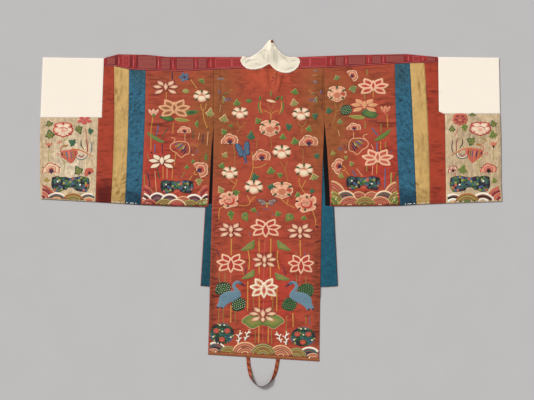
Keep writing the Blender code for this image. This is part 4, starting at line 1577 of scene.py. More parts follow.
    def clump(self) -> None:
        """A round bush: leaves of many dark tones in rings, with red flowers among them."""
        tones = (
            Tone.NAVY, Tone.DARK_LEAF, Tone.TEAL_THREAD, Tone.NEAR_BLACK, Tone.BLUE_LEAF, Tone.PALE_LEAF,
            Tone.BOTTLE, Tone.STEEL,
        )
        self.fill(oval(0, 0.96, 0.96, 12, 0.08), Tone.BOTTLE, Tone.DARK_LEAF)
        for ring, (reach, count) in enumerate(((0.9, 24), (0.66, 17), (0.42, 11), (0.16, 5))):
            for number in range(count):
                angle = 360.0 / count * number + 9 * ring
                root, tip = polar(reach - 0.13, angle - 8), polar(reach + 0.12, angle + 8)
                tone = tones[(3 * number + 2 * ring) % len(tones)]
                level = 0.8 + 0.2 * (number % 3)
                self.fill(petal(root, tip, 0.16, 0.55, 0.7), tone, None, level, angle)
        for spot in (-0.44+0.26j, 0.44+0.26j, 0.0-0.56j):
            self.fill(oval(spot, 0.27, 0.28, 6, 0.2), Tone.FLOWER_RED, Tone.CORAL, 2.0)
            self.line(arc(spot, 0.13, -30, 230, 8), 2.2, Tone.DEEP_ROSE, 2.8)
        for spot in (-0.14+0.8j, 0.2+0.8j, 0.04+0.2j, -0.7-0.3j, 0.72-0.34j):
            self.fill(oval(spot, 0.08, 0.09), Tone.CREAM, Tone.PALE_MOSS, 2.2)

    def sprig(self) -> None:
        """A white branching sprig of coral with dark bits."""
        tone = Tone.SOFT_WHITE
        self.line(curve(-0.3-0.98j, 0.0-0.4j, -0.1+0.1j, 0.3+0.6j, 0.25+0.98j), 5.4, tone, 0.5)
        branches = (
            (0.0-0.4j, 0.75-0.1j), (-0.1+0.05j, -0.85+0.35j), (0.2+0.35j, 0.95+0.55j),
            (-0.15-0.7j, -0.8-0.5j),
        )
        for root, tip in branches:
            self.line(curve(root, blend(root, tip, 0.6) + 0.06j, tip), 4.0, tone, 0.4)
        bits = (
            (0.1-0.72j, Tone.TEAL_THREAD), (0.15+0.15j, Tone.NAVY), (-0.3-0.2j, Tone.LEAF),
            (0.2+0.8j, Tone.MOSS),
        )
        for spot, bit in bits:
            self.fill(oval(spot, 0.22, 0.11), bit, None, 1)

    def star_flower(self) -> None:
        """A small open flower of five petals."""
        rim, core, middle = self.palette(Tone.CORAL, Tone.BLUSH, Tone.GOLD)
        for number in range(5):
            angle = 90 + 72 * number
            blade = petal(0, polar(0.96, angle), 0.7, 0.66, 0.7)
            self.fill(blade, rim, core, 0.3 * (number % 2), angle)
        self.fill(oval(0, 0.22, 0.22), middle, None, 1.5)

    def rock(self) -> None:
        """A rock of small squares in many tones, bumpy above and notched below, in a dark outline."""
        tones = (
            Tone.NAVY, Tone.TEAL_THREAD, Tone.LEAF, Tone.NEAR_BLACK, Tone.BLUE_LEAF, Tone.CORAL, Tone.NAVY,
            Tone.MOSS, Tone.PURPLE, Tone.DARK_LEAF, Tone.STEEL, Tone.TEAL_THREAD, Tone.NEAR_BLACK,
        )
        crest = edge(
            (-1, 0.4), (-0.95, 0.86), (-0.7, 0.98), (-0.5, 0.84), (-0.3, 0.9), (-0.1, 0.76), (0, 0.7),
            (0.1, 0.8), (0.3, 0.86), (0.55, 0.98), (0.8, 0.86), (0.95, 0.74), (1, 0.2),
        )
        base = edge(
            (-1, -0.3), (-0.86, -0.9), (-0.6, -0.98), (-0.48, -0.86), (-0.36, -0.66), (-0.26, -0.76),
            (-0.14, -0.4), (0.14, -0.4), (0.28, -0.78), (0.5, -0.92), (0.86, -0.96), (1, -0.3),
        )
        columns, rows = round(abs(self.motif.width) / 8.5), round(self.motif.height / 8.5)
        border = np.linspace(-1.0, 1.0, 40)
        outline = np.concatenate([border + 1j * crest.y_at(border), (border + 1j * base.y_at(border))[::-1]])
        self.line(outline, 3.4, Tone.NEAR_BLACK, 0.6, True)
        for column in range(columns):
            left = -1.0 + 2.0 * column / columns
            middle = left + 1.0 / columns
            top, foot = float(crest.y_at(middle)), float(base.y_at(middle))
            cells = max(1, round((top - foot) / 2.0 * rows))
            for row in range(cells):
                low, high = (blend(foot, top, (row + k) / cells) for k in (0, 1))
                box = np.array([left + 1j * low, left + 2.0 / columns + 1j * low])
                corners = np.concatenate([box, [box[1] + 1j * (high - low), box[0] + 1j * (high - low)]])
                tone = tones[(5 * column + 3 * row + (column * row) % 4) % len(tones)]
                self.fill(corners, tone, None, 0.1, 90.0 * ((row + column) % 2))
        for spot in (-0.68+0.34j, 0.52-0.1j):
            self.fill(oval(spot, 0.055, 0.13), Tone.SOFT_WHITE, None, 1)

    def phoenix(self) -> None:
        """A phoenix: a striped almond body, a golden back that runs into its tail, and long feathers."""
        tone, stripe, plume = self.palette(Tone.CORAL, Tone.CRANE_SHADE, Tone.NAVY)
        body = curve(
            -0.94-0.05j, -0.84+0.18j, -0.5+0.24j, -0.12+0.28j, 0.12+0.1j, 0.0-0.36j, -0.3-0.78j,
            -0.6-0.52j, -0.88-0.3j, closed=True, steps=3,
        )
        self.fill(body, tone, tone, 0.2, 60)
        wedges = (
            (-0.86+0.06j, -0.78-0.26j, 0.09, plume), (-0.74+0.12j, -0.62-0.4j, 0.09, Tone.OCHRE),
            (-0.6+0.16j, -0.48-0.52j, 0.1, stripe), (-0.46+0.18j, -0.36-0.6j, 0.08, Tone.SALMON),
            (-0.33+0.2j, -0.26-0.56j, 0.09, Tone.MAUVE), (-0.2+0.2j, -0.16-0.44j, 0.09, Tone.LEAF),
            (-0.07+0.18j, -0.05-0.26j, 0.07, Tone.DEEP_ROSE),
        )
        for root, tip, width, wedge in wedges:
            self.fill(petal(root, tip, width, 0.4), wedge, None, 1.2, 60)
        back = curve(-0.3+0.26j, 0.05+0.24j, 0.36+0.14j, 0.66-0.06j, 1.0-0.26j)
        self.line(back, np.linspace(7.0, 3.0, len(back)), Tone.ORANGE, 1.4)
        arches = (
            (0.36, 3.0, Tone.TEAL_THREAD), (0.28, 2.6, Tone.SOFT_WHITE), (0.21, 2.8, Tone.ROSE),
            (0.13, 2.8, plume),
        )
        for radius, width, band in arches:
            self.line(arc(0.3-0.12j, radius, 185, 372), width, band, 0.8)
        feathers = (
            (0.29+0.94j, 0.3+0.56j, 0.48+0.2j, Tone.NEAR_BLACK),
            (0.58+0.98j, 0.66+0.5j, 0.64, Tone.DEEP_ROSE),
            (0.86+0.86j, 0.92+0.36j, 0.84-0.12j, stripe),
        )
        for start, bend, end, feather in feathers:
            path = curve(start, bend, end)
            width = 1.2 + 3.2 * np.sin(np.linspace(0.3, math.pi - 0.2, len(path)))
            self.line(path, width, feather, 0.5)
        neck = curve(-0.88, -0.96+0.16j, -0.9+0.4j, -0.72+0.52j)
        self.line(neck, 3.4, tone, 0.9)
        self.fill(petal(-0.8+0.46j, -0.42+0.58j, 0.16, 0.35), Tone.OCHRE, None, 1.2)
        self.line(oval(-1.12-0.1j, 0.1, 0.07), 1.8, Tone.ROSE, 0.2, True)
        self.line(curve(-0.9-0.28j, -0.84-0.52j, -0.7-0.64j, -0.72-1.4j), 2.6, Tone.MOSS)
        self.line(curve(-0.54-0.56j, -0.6-0.66j, -0.7-0.68j), 2.6, Tone.MOSS)

    def bird(self) -> None:
        """A bird in a wavy pale outline, with striped wings and a loose tail."""
        rim, stripe, dark = self.palette(Tone.PEACH, Tone.MOSS, Tone.NAVY)
        body = curve(
            -0.82+0.46j, -0.88+0.09j, -0.74-0.24j, -0.52-0.4j, -0.34-0.72j, -0.14-0.94j, 0.06-0.66j,
            0.32-0.5j, 0.37+0.03j, 0.24+0.62j, -0.08+0.76j, -0.47+0.74j, closed=True, steps=3,
        )
        self.line(body, 3.6, rim, 0.4, True)
        self.line(curve(-0.82+0.46j, -0.6+0.84j, -0.6+1.1j, -0.85+1.2j), 3.0, rim, 0.4)
        wings = (
            (-0.66+0.4j, -0.24+0.62j, 0.12, Tone.MAUVE), (-0.6+0.14j, -0.1+0.64j, 0.13, stripe),
            (-0.5-0.1j, 0.02+0.6j, 0.12, Tone.STEEL), (-0.38-0.3j, 0.12+0.5j, 0.12, Tone.OLIVE),
            (-0.24-0.5j, 0.2+0.4j, 0.14, dark), (-0.08-0.66j, 0.22+0.1j, 0.12, Tone.PURPLE),
            (-0.66+0.04j, -0.52-0.1j, 0.12, Tone.DEEP_ROSE), (-0.12-0.2j, 0.06+0.3j, 0.06, Tone.CREAM),
        )
        for root, tip, width, tone in wings:
            self.fill(petal(root, tip, width), tone, None, 0.3)
        for start, bend, end, tone in (
            (0.36+0.6j, 0.7+0.62j, 1.0+0.42j, Tone.CORAL), (0.4+0.36j, 0.66+0.3j, 0.98+0.14j, Tone.OCHRE),
            (0.48+0.1j, 0.44-0.1j, 0.52-0.4j, dark), (0.92+0.0j, 0.82-0.3j, 0.76-0.5j, Tone.STEEL),
            (0.7+0.2j, 0.64-0.1j, 0.56-0.2j, Tone.PURPLE), (0.4+0.46j, 0.6+0.5j, 0.86+0.34j, Tone.ORANGE),
            (0.5-0.6j, 0.58-0.72j, 0.64-0.6j, Tone.CREAM),
        ):
            self.line(curve(start, bend, end), 2.6, tone)

    def blade(self) -> None:
        """A pointed blade of grass that leans with its turn."""
        tones, lean = self.motif.tones, self.motif.turn + 90.0
        self.fill(petal(-1j, 1j, 1.6, 0.4, 0.8), tones[0], tones[-1], 0, lean)

    def cell(self) -> None:
        """A woven rectangle with a dark outline and a faint pattern of short bars."""
        rim, fill, bars = self.motif.tones
        box = np.array([-1 - 1j, -1j, 1-1j, 1, 1+1j, 1j, -1+1j, -1+0j])
        self.fill(box * 0.97, fill, fill, -1.2)
        self.line(box, 2.2, rim, -1.0, True)
        count = max(1, round(self.motif.width / 13.0))
        for number in range(count):
            x = -0.8 + 1.6 * (number + 0.5) / count
            for y in (-0.4, 0.4):
                bar = (complex(x - 0.4 / count, y), complex(x, y + 0.26), complex(x + 0.4 / count, y - 0.1))
                self.line(curve(*bar), 1.6, bars, 0.6)

    def patch(self) -> None:
        """A thin worn patch of threads."""
        self.fill(petal(-0.98+0.1j, 0.98-0.1j, 1.4, 0.5, 0.6), self.motif.tones[0], self.motif.tones[-1])


def seam_dip(u: Numbers, width: Numbers) -> Numbers:
    """How far the cloth dips beside its two lengthwise seams, where u is 0 and 1."""
    return SEAM_DIP * (1.0 - smooth(0.0, SEAM_REACH, np.minimum(u, 1.0 - u) * width))


def seam_stops(width: float) -> list[float]:
    """Columns from 0 to 1 across a piece of that width, closer together beside its seams.

    Args:
        width: the piece's width.

    Returns:
        The columns, from 0 to 1.
    """
    close = [share * SEAM_REACH / width for share in (0.0, 0.4, 1.0)]
    middle = stops(close[-1], 1.0 - close[-1], max(2, round((width - 2 * SEAM_REACH) / PITCH)))
    return close[:-1] + middle + [1.0 - share for share in reversed(close[:-1])]


class Strip(NamedTuple):
    """One lengthwise strip of a sleeve: its finish, its slot, and its rough width for the grid."""

    name: str
    finish: ClothFinish
    slot: str
    width: float


@dataclass
class Sleeve:
    """A sleeve of five strips in two layers, as it lies, without its cover and shoulder band."""

    side: Side
    cover_line: float
    corner_cut: float
    corner_height: float = 10.0
    cover_row: float = 0.6
    step_row: float = 0.597
    corner_row: float = 0.63
    upper_rows: tuple[int, int] = (76, 46)
    lower_rows: tuple[int, int] = (24, 14)
    strips: tuple[Strip, ...] = (
        Strip("panel", SATIN, "red_silk", 262),
        Strip("blue_strip", BLUE_SILK, "blue_silk", 61),
        Strip("yellow_strip", YELLOW_SILK, "yellow_silk", 56),
        Strip("red_strip", STRIP_SILK, "strip_red", 56),
        Strip("cuff", CUFF_SILK, "cream_silk", 216),
    )

    def holds(self, strip: str) -> Callable[[Numbers, Numbers], Numbers]:
        """A test of which places lie well within a strip of the upper layer.

        Args:
            strip: the strip's name.

        Returns:
            The test, which takes x and y.
        """

        def test(x: Numbers, y: Numbers) -> Numbers:
            """True inside the strip's seams and its hem."""
            left, right = self.edges(strip, Layer.UPPER, y, 0.0 * y)
            return (x > left + 4.0) & (x < right - 4.0) & (y > SLEEVE_HEM.y_at(x) + 4.0)

        return test

    def row_y(self, x: Numbers, w: Numbers) -> Numbers:
        """Height of row w: the hem at 0, the cover's line at cover_row and the band at 1.

        Args:
            x: places across the robe.
            w: the rows.

        Returns:
            y of each place.
        """
        line, corner = self.cover_line - GAP / 2, self.cover_line + self.corner_height
        low = blend(SLEEVE_HEM.y_at(x), line, w / self.cover_row)
        step = blend(line, corner, (w - self.cover_row) / (self.corner_row - self.cover_row))
        high = blend(corner, BAND_FOOT.y_at(x) - GAP / 2, (w - self.corner_row) / (1 - self.corner_row))
        return np.where(w <= self.cover_row, low, np.where(w <= self.corner_row, step, high))

    def cover_x(self, y: Numbers) -> Numbers:
        """x of the red strip's edge along the cover, whose lower corner is cut off."""
        lift = np.clip((y - self.cover_line) / self.corner_height, 0.0, 1.0)
        return SEAMS[self.side]["cover"].x_at(y) + self.side.sign * self.corner_cut * (1.0 - lift)

    def edges(self, strip: str, layer: Layer, y: Numbers, w: Numbers) -> tuple[Numbers, Numbers]:
        """The left and right edge of a strip at the heights y.

        Args:
            strip: the strip.
            layer: the upper or the lower layer.
            y: places up the robe.
            w: places along the piece.

        Returns:
            The left and the right edge at each place.
        """
        seams = SEAMS[self.side]
        body = (SLEEVE_SIDE if layer is Layer.UPPER else FRONT_SIDE)[self.side]
        step = np.where(w >= self.cover_row, self.cover_x(y), seams["cuff"].x_at(y))
        outer, inner = {
            "panel": (seams["blue"].x_at(y), body.x_at(y)),
            "blue_strip": (seams["yellow"].x_at(y), seams["blue"].x_at(y)),
            "yellow_strip": (seams["red"].x_at(y), seams["yellow"].x_at(y)),
            "red_strip": (step, seams["red"].x_at(y)),
            "cuff": (OUTER_EDGE[self.side].x_at(y), seams["cuff"].x_at(y)),
        }[strip]
        return self.side.pair(outer, inner)

    def edge_x(self, strip: str, layer: Layer, which: int, w: Numbers) -> Numbers:
        """x of the left (0) or right (1) edge of a strip at the rows w.

        Args:
            strip: the strip's name.
            layer: the upper or the lower layer.
            which: 0 for the left edge and 1 for the right one.
            w: the rows.

        Returns:
            x of the edge at each row.
        """
        x = self.edges(strip, layer, self.cover_line + 0.0 * w, w)[which]
        for _ in range(4):
            x = self.edges(strip, layer, self.row_y(x, w), w)[which]
        return x

    def place(self, strip: str, layer: Layer, u: Numbers, w: Numbers) -> Points:
        """The points of a strip's top surface.

        Args:
            strip: the strip.
            layer: the upper or the lower layer.
            u: places across the piece.
            w: places along the piece.

        Returns:
            x, y and z of each place.
        """
        left = self.edge_x(strip, layer, 0, w) + GAP / 2
        right = self.edge_x(strip, layer, 1, w) - GAP / 2
        x = blend(left, right, u)
        y = self.row_y(x, w)
        rise = y - SLEEVE_HEM.y_at(x)
        dip = seam_dip(u, right - left)
        if layer is Layer.UPPER:
            return x, y, LAY.top(x, y) - np.maximum(dip, HEM_DIP * (1.0 - smooth(0.0, HEM_REACH, rise)))
        return x, y, FRONT_WALL + self.front_creases(x, y) - 0.3 * dip

    def front_creases(self, x: Numbers, y: Numbers) -> Numbers:
        """Low creases of the lower layer, like those above, away from its hem."""
        creased = LAY.creased(x, y + 30.0)[0]
        return 0.45 * creased * smooth(0.0, 30.0, y - SLEEVE_HEM.y_at(x))

    def make(self, dyes: dict[str, Dye], sewn_on: dict[str, list[bpy.types.Object]]) -> None:
        """Makes the ten strips.

        Args:
            dyes: the dye of each strip.
            sewn_on: the pieces that lie on a strip of the upper layer.
        """
        for strip in self.strips:
            for layer in Layer:
                self._make_strip(strip, layer, dyes[strip.name], sewn_on.get(strip.name, []))

    def _make_strip(self, strip: Strip, layer: Layer, dye: Dye, sewn_on: list[bpy.types.Object]) -> None:
        """Makes one strip of one layer.

        Args:
            strip: the strip.
            layer: the upper or the lower layer.
            dye: its dye.
            sewn_on: the pieces that lie on it.
        """
        upper = layer is Layer.UPPER
        low, high = self.upper_rows if upper else self.lower_rows
        rows = stops(0.0, self.step_row, low) + [self.cover_row]
        rows.insert(1, HEM_REACH / 2 / self.cover_line * self.cover_row)
        if strip.name != "cuff":
            rows += stops(self.corner_row, 1.0, high)
        across = seam_stops(strip.width) if upper else stops(0.0, 1.0, max(4, round(strip.width / 14)))
        below = (f"sleeve_{strip.name}_front_{self.side.value}",) if upper else ("floor",)
        Cloth(
            name=f"sleeve_{strip.name}_{layer.value}_{self.side.value}", slot=strip.slot,
            finish=strip.finish, across=across, along=rows,
            place=lambda u, w: self.place(strip.name, layer, u, w), dye=dye,
            wall=(BACK_WALL if upper else FRONT_WALL) - SEAM_DIP, rests_on=below,
            sewn_on=sewn_on if upper else [],
        ).make()


@dataclass
class ShoulderWrap:
    """A piece folded over the shoulder, with a foot under the robe and a foot on top."""

    side: Side
    foot_dip: float = 0.9
    corner_height: float = 10.0
    corner_stop: float = 0.1
    fold_stops: tuple[float, ...] = (1.1, 1.2, 1.3, 1.4, 1.5, 1.6, 1.7, 1.8, 1.9)

    def point(self, x: Numbers, s: Numbers, fold_y: Numbers, foot_y: Numbers) -> tuple[Numbers, Numbers]:
        """y and z of the inner face: s is 0 at the foot below, 1 to 2 round the fold, 3 at the upper foot.

        Args:
            x: places across the robe.
            s: places along the piece, from its foot below.
            fold_y: y of the shoulder fold.
            foot_y: y of both feet.

        Returns:
            y and z of each place.
        """
        radius = (LAY.under(x, fold_y) + BACK_WALL) / 2
        crest = fold_y - radius
        turn = (np.clip(s, 1.0, 2.0) - 1.0) * math.pi
        rise = np.where(s <= 1.0, s, 3.0 - s)
        corner = foot_y + self.corner_height
        low = blend(foot_y, corner, rise / self.corner_stop)
        high = blend(corner, crest, (rise - self.corner_stop) / (1.0 - self.corner_stop))
        flat_y = np.where(rise <= self.corner_stop, low, high)
        y = np.where((s > 1.0) & (s < 2.0), crest + radius * np.sin(turn), flat_y)
        flat = blend(2 * radius, LAY.top(x, y), smooth(2.0, 2.5, s))
        flat = flat - self.foot_dip * (1.0 - smooth(0.0, 3.0, y - foot_y)) * (s > 2.0)
        z = np.where(s <= 1.0, 0.0, np.where(s < 2.0, radius - radius * np.cos(turn), flat))
        return y, z


@dataclass
class ShoulderBand(ShoulderWrap):
    """Half of the patterned band that wraps the shoulder, from the neck to the cover."""

    neck_half: float = 92.5

    def make(self, dye: Dye, sewn_on: list[bpy.types.Object]) -> None:
        """Makes the band, with the pieces that lie on it.

        Args:
            dye: its dye.
            sewn_on: the pieces that lie on it.
        """
        sign, seam = self.side.sign, SEAMS[self.side]["cover"]
        reach = sorted(spot.x for spot in BAND_FOOT.spots if spot.x * sign >= self.neck_half)
        across = []
        for near, far in zip(reach, reach[1:]):
            across += stops(near, far, max(1, round((far - near) / PITCH)))[:-1]
        across.append(reach[-1])

        def place(u: Numbers, s: Numbers) -> Points:
            """The band's inner face.

            Args:
                u: places across the robe.
                s: places along the band, from its foot below.

            Returns:
                x, y and z of each place.
            """
            y, z = self.point(u, s, SHOULDER.y_at(u), BAND_FOOT.y_at(u) + GAP / 2)
            neck = sign * (self.neck_half + GAP / 2)
            cover = seam.x_at(y) - sign * GAP / 2
            return np.clip(u, np.minimum(neck, cover), np.maximum(neck, cover)), y, z

        Cloth(
            name=f"shoulder_band_{self.side.value}", slot="crimson_band", finish=BAND_SILK, across=across,
            along=stops(0.0, 1.0, 4) + list(self.fold_stops) + stops(2.0, 2.9, 14) + [2.94, 2.97, 3.0],
            place=place, dye=dye, wall=BAND_WALL,
            rests_on=(f"sleeve_panel_back_{self.side.value}", "back_panel"), wrapped=True, held="folded",
            sewn_on=sewn_on,
        ).make()


@dataclass
class CuffCover(ShoulderWrap):
    """The plain white cover that wraps the upper half of the sleeve's end."""

    def make(self, sleeve: Sleeve, dye: Dye) -> None:
        """Makes the cover on the end of this sleeve.

        Args:
            sleeve: the sleeve that it wraps.
            dye: its dye.
        """
        edge_line = OUTER_EDGE[self.side]
        top_y = max(spot.y for spot in edge_line.spots)

        def place(u: Numbers, s: Numbers) -> Points:
            """The cover's inner face.

            Args:
                u: places across the piece.
                s: places along the piece, from its foot below.

            Returns:
                x, y and z of each place.
            """
            outer = edge_line.x_at(sleeve.cover_line)
            left, right = self.side.pair(outer, sleeve.cover_x(SEAM_TOP))
            x = blend(left, right, u)
            y, z = self.point(x, s, SHOULDER.y_at(x), sleeve.cover_line + GAP / 2 + 0.0 * x)
            outer = edge_line.x_at(np.minimum(y, top_y))
            inner = sleeve.cover_x(y) + self.side.sign * 2 * GAP
            left, right = self.side.pair(outer, inner)
            return blend(left, right, u), y, z - 0.6 * seam_dip(u, right - left) * (s > 2.0)

        low = [0.0, self.corner_stop, 0.3, 0.5, 0.7, 1.0]
        high = stops(2.0, 3.0 - self.corner_stop, 50) + [2.94, 2.975, 3.0]
        Cloth(
            name=f"cuff_cover_{self.side.value}", slot="white_cover", finish=COVER_COTTON,
            across=seam_stops(236), along=low + list(self.fold_stops) + high, place=place, dye=dye,
            wall=COVER_WALL, rests_on=(f"sleeve_cuff_back_{self.side.value}",), wrapped=True, held="folded",
        ).make()


@dataclass
class BackPanel:
    """The embroidered back, with the binding along its hem."""

    neck_half: float = 92.5
    hem_left: Spot = Spot(-241.0, -545.0)
    hem_slope: float = -0.061
    foot_ends: tuple[float, float] = (-243.0, 186.0)
    head_ends: tuple[float, float] = (-220.0, 206.0)
    width: float = 430.0
    binding_width: float = 11.0
    stitch: float = 3.1

    def hem_y(self, x: Numbers) -> Numbers:
        """y of the hem at x."""
        return self.hem_left.y + self.hem_slope * (x - self.hem_left.x)

    def holds(self, x: Numbers, y: Numbers) -> Numbers:
        """Whether each place lies well within the panel."""
        left, right = (BACK_SIDE[side].x_at(y) for side in Side)
        return (x > left + 4.0) & (x < right - 4.0) & (y > self.hem_y(x) + self.binding_width + 2.0)

    def place(self, u: Numbers, w: Numbers) -> Points:
        """The top of the panel, from the binding at 0 to the shoulder band at 1.

        Args:
            u: places across the piece.
            w: places along the piece.

        Returns:
            x, y and z of each place.
        """
        left, right = BACK_SIDE[Side.LEFT], BACK_SIDE[Side.RIGHT]
        foot = self.hem_y(blend(*self.foot_ends, u)) + self.binding_width + GAP / 2
        head = BAND_FOOT.y_at(blend(*self.head_ends, u)) - GAP / 2
        y = blend(foot, head, w)
        left_x, right_x = left.x_at(y) + GAP / 2, right.x_at(y) - GAP / 2
        x = blend(left_x, right_x, u)
        return x, y, LAY.top(x, y) - seam_dip(u, right_x - left_x)

    def binding_place(self, u: Numbers, w: Numbers) -> Points:
        """The rounded top of the hem's binding.

        Args:
            u: places across the piece.
            w: places along the piece.

        Returns:
            x, y and z of each place.
        """
        foot = self.hem_y(blend(*self.foot_ends, u))
        y = blend(foot, foot + self.binding_width - GAP / 2, w)
        left_x, right_x = (BACK_SIDE[side].x_at(y) for side in Side)
        round_top = np.sqrt(np.clip(1.0 - (2.0 * w - 1.0) ** 2, 0.0, 1.0))
        pulled = 0.16 * np.sin(u * self.width / self.stitch) * round_top
        return blend(left_x + GAP / 2, right_x - GAP / 2, u), y, blend(1.1, BINDING_WALL, round_top) + pulled

    def make(self, dye: Dye, binding_dye: Dyer, sewn_on: list[bpy.types.Object]) -> None:
        """Makes the panel, with the pieces that lie on it, and its binding.

        Args:
            dye: its dye.
            binding_dye: the binding's dye.
            sewn_on: the pieces that lie on it.
        """
        left, right = self.head_ends
        neck = [(x - left) / (right - left) for x in (-self.neck_half, self.neck_half)]
        columns = sorted(set(seam_stops(self.width) + neck))
        Cloth(
            name="back_panel", slot="red_silk", finish=SATIN, across=columns, along=stops(0.0, 1.0, 300),
            place=self.place, dye=dye, wall=BACK_WALL - SEAM_DIP,
            rests_on=("front_panel_left", "front_panel_right"), sewn_on=sewn_on,
        ).make()
        Cloth(
            name="hem_binding", slot="hem_tape", finish=TAPE_CLOTH, across=stops(0.0, 1.0, 220),
            along=[0.0, 0.08, 0.2, 0.35, 0.5, 0.65, 0.8, 0.92, 1.0], place=self.binding_place,
            dye=binding_dye, wall=1.0, rests_on=("floor",), held="folded",
        ).make()


@dataclass
class Fronts:
    """What lies under the back: the two front panels, their neckbands and linings, and the slit facings,
    whose near-black is partly a dark facing cloth and partly painted shadow in the slits.
    """

    side: Side
    facing_foot: float
    slit_apex: float
    hem_side: float = -281.0
    hem_slope: float = -0.06
    neck_half: float = 92.5
    neck_point: float = 380.0
    neckband_width: float = 32.0
    lining_reach: float = 58.0
    lining_inset: float = 1.5
    tab_top: float = 225.0
    tab_start: float = 255.0
    tab_reach: float = 14.0
    tab_under_back: float = 14.0
    under_sleeve: float = 9.0
    under_back: float = 12.0
    above_slit: float = 14.0

    def hem_y(self, x: Numbers) -> Numbers:
        """y of the front's hem at x, lowest at the centre."""
        return self.hem_side + self.hem_slope * (BODY_HALF - np.abs(x))

    def inner_x(self, y: Numbers) -> Numbers:
        """x of the front's inner edge: the sloping neckline, then the centre line.

        Args:
            y: places up the robe.

        Returns:
            x at each height.
        """
        head = BAND_FOOT.y_at(self.side.sign * self.neck_half)
        slope = self.neck_half * (y - self.neck_point) / (head - self.neck_point)
        return self.side.sign * (np.clip(slope, 0.0, self.neck_half) + GAP / 2)

    def panel_place(self, u: Numbers, w: Numbers) -> Points:
        """The top of the front panel.

        Args:
            u: places across the piece.
            w: places along the piece.

        Returns:
            x, y and z of each place.
        """
        sign, line = self.side.sign, FRONT_SIDE[self.side]
        inward = u if self.side is Side.LEFT else 1.0 - u
        xs = sorted(abs(spot.x) for spot in line.spots)
        foot = self.hem_y(sign * blend(xs[-1], 0.0, inward))
        head = BAND_FOOT.y_at(sign * blend(xs[0], self.neck_half, inward)) - GAP / 2
        y = np.where(w <= 1.0, blend(foot, self.neck_point, w), blend(self.neck_point, head, w - 1.0))
        x = blend(line.x_at(y) - sign * GAP / 2, self.inner_x(y), inward)
        inner = smooth(0.0, 24.0, y - self.hem_y(x)) * smooth(0.0, 70.0, np.abs(line.x_at(y)) - np.abs(x))
        return x, y, FRONT_WALL + 0.35 * inner * np.sin(y / 23.0 + 0.7 * np.sin(x / 41.0)) ** 4

    def neckband_place(self, u: Numbers, w: Numbers) -> Points:
        """The top of the front neckband.

        Args:
            u: places across the piece.
            w: places up the robe.

        Returns:
            x, y and z of each place.
        """
        outer = self.inner_x(w) - self.side.sign * GAP
        inner = self.side.sign * np.maximum(np.abs(outer) - self.neckband_width, GAP / 2)
        left, right = self.side.pair(outer, inner)
        return blend(left, right, u), w, FRONT_WALL + 0.0 * w

    def facing_inner_x(self, y: Numbers) -> Numbers:
        """x of the slit facing's edge towards the centre back.

        Args:
            y: places up the robe.

        Returns:
            x at each height.
        """
        line = BACK_SIDE[self.side].x_at(y)
        if self.side is Side.LEFT:
            return line + self.under_back
        return line + self.tab_reach * smooth(self.tab_start, self.facing_foot, y)

    def facing_place(self, u: Numbers, w: Numbers) -> Points:
        """The top of the slit facing.

        Args:
            u: places across the piece.
            w: places up the robe.

        Returns:
            x, y and z of each place.
        """
        outer = SLEEVE_SIDE[self.side].x_at(w) + self.side.sign * self.under_sleeve
        left, right = self.side.pair(outer, self.facing_inner_x(w))
        return blend(left, right, u), w, LINING_HEIGHT + LINING_WALL + 0.0 * w

    def lining_place(self, u: Numbers, w: Numbers) -> Points:
        """The top of the blue lining, with its narrow tab in the right slit above the facing's foot.

        Args:
            u: places across the piece.
            w: places along the piece.

        Returns:
            x, y and z of each place.
        """
        sign = self.side.sign
        head = self.facing_foot - GAP
        line = BACK_SIDE[self.side].x_at(w)
        tab = w > head - 0.5
        inner = np.where(tab, line - self.tab_under_back, line - sign * self.lining_reach)
        front = FRONT_SIDE[self.side].x_at(w) - sign * self.lining_inset
        outer = np.where(tab, self.facing_inner_x(w) - GAP, front)
        left, right = self.side.pair(outer, inner)
        x = blend(left, right, u)
        foot = self.hem_y(x) + self.lining_inset
        y = np.maximum(w, foot)
        outside = sign * (x - BACK_SIDE[self.side].x_at(y)) - 1.0
        shown = smooth(0.0, 6.0, outside) * smooth(0.0, 7.0, y - foot) * (~tab)
        wrinkle = 0.5 * np.sin(y / 9.0 + 1.6 * np.sin(x / 13.0 + y / 31.0)) * np.sin(y / 37.0 + x / 17.0)
        return x, y, LINING_HEIGHT + LINING_WALL + shown * (0.3 + wrinkle)

    def make(self, red: Dye, neck: Dye, lining: Dye, facing: Dye) -> None:
        """Makes the pieces of this side with these dyes.

        Args:
            red: the front panel's dye.
            neck: the neckband's dye.
            lining: the lining's dye.
            facing: the slit facing's near-black dye, partly painted shadow in the slits.
        """
        name, heights = self.side.value, stops(0.0, 1.0, 8)
        head = self.facing_foot - GAP
        lining_rows = stops(self.hem_side - 16.0, head - 1.0, 82)
        if self.side is Side.RIGHT:
            lining_rows += stops(head, self.tab_top, 12)
        pieces = (
            ("front_panel", "red_silk", SATIN, stops(0.0, 1.0, 26),
             stops(0.0, 1.0, 70) + stops(1.0, 2.0, 18)[1:], self.panel_place, red, FRONT_WALL - 0.2, "floor"),
            ("neckband_front", "strip_red", STRIP_SILK, heights, stops(384.0, 598.0, 40),
             self.neckband_place, neck, FRONT_WALL, "floor"),
            ("slit_facing", "dark_facing", SLIT_SHADOW_CLOTH, heights,
             stops(self.facing_foot, self.slit_apex + self.above_slit, 60),
             self.facing_place, facing, LINING_WALL, f"front_panel_{name}"),
            ("front_lining", "teal_lining", LINING_SILK, stops(0.0, 1.0, 34), lining_rows,
             self.lining_place, lining, LINING_WALL, f"front_panel_{name}"),
        )
        for piece, slot, finish, across, along, place, dye, wall, below in pieces:
            Cloth(f"{piece}_{name}", slot, finish, across, along, place, dye, wall, (below,)).make()


class CollarSection(NamedTuple):
    """The collar's upper and lower edge at one x."""

    x: float
    top: float
    foot: float


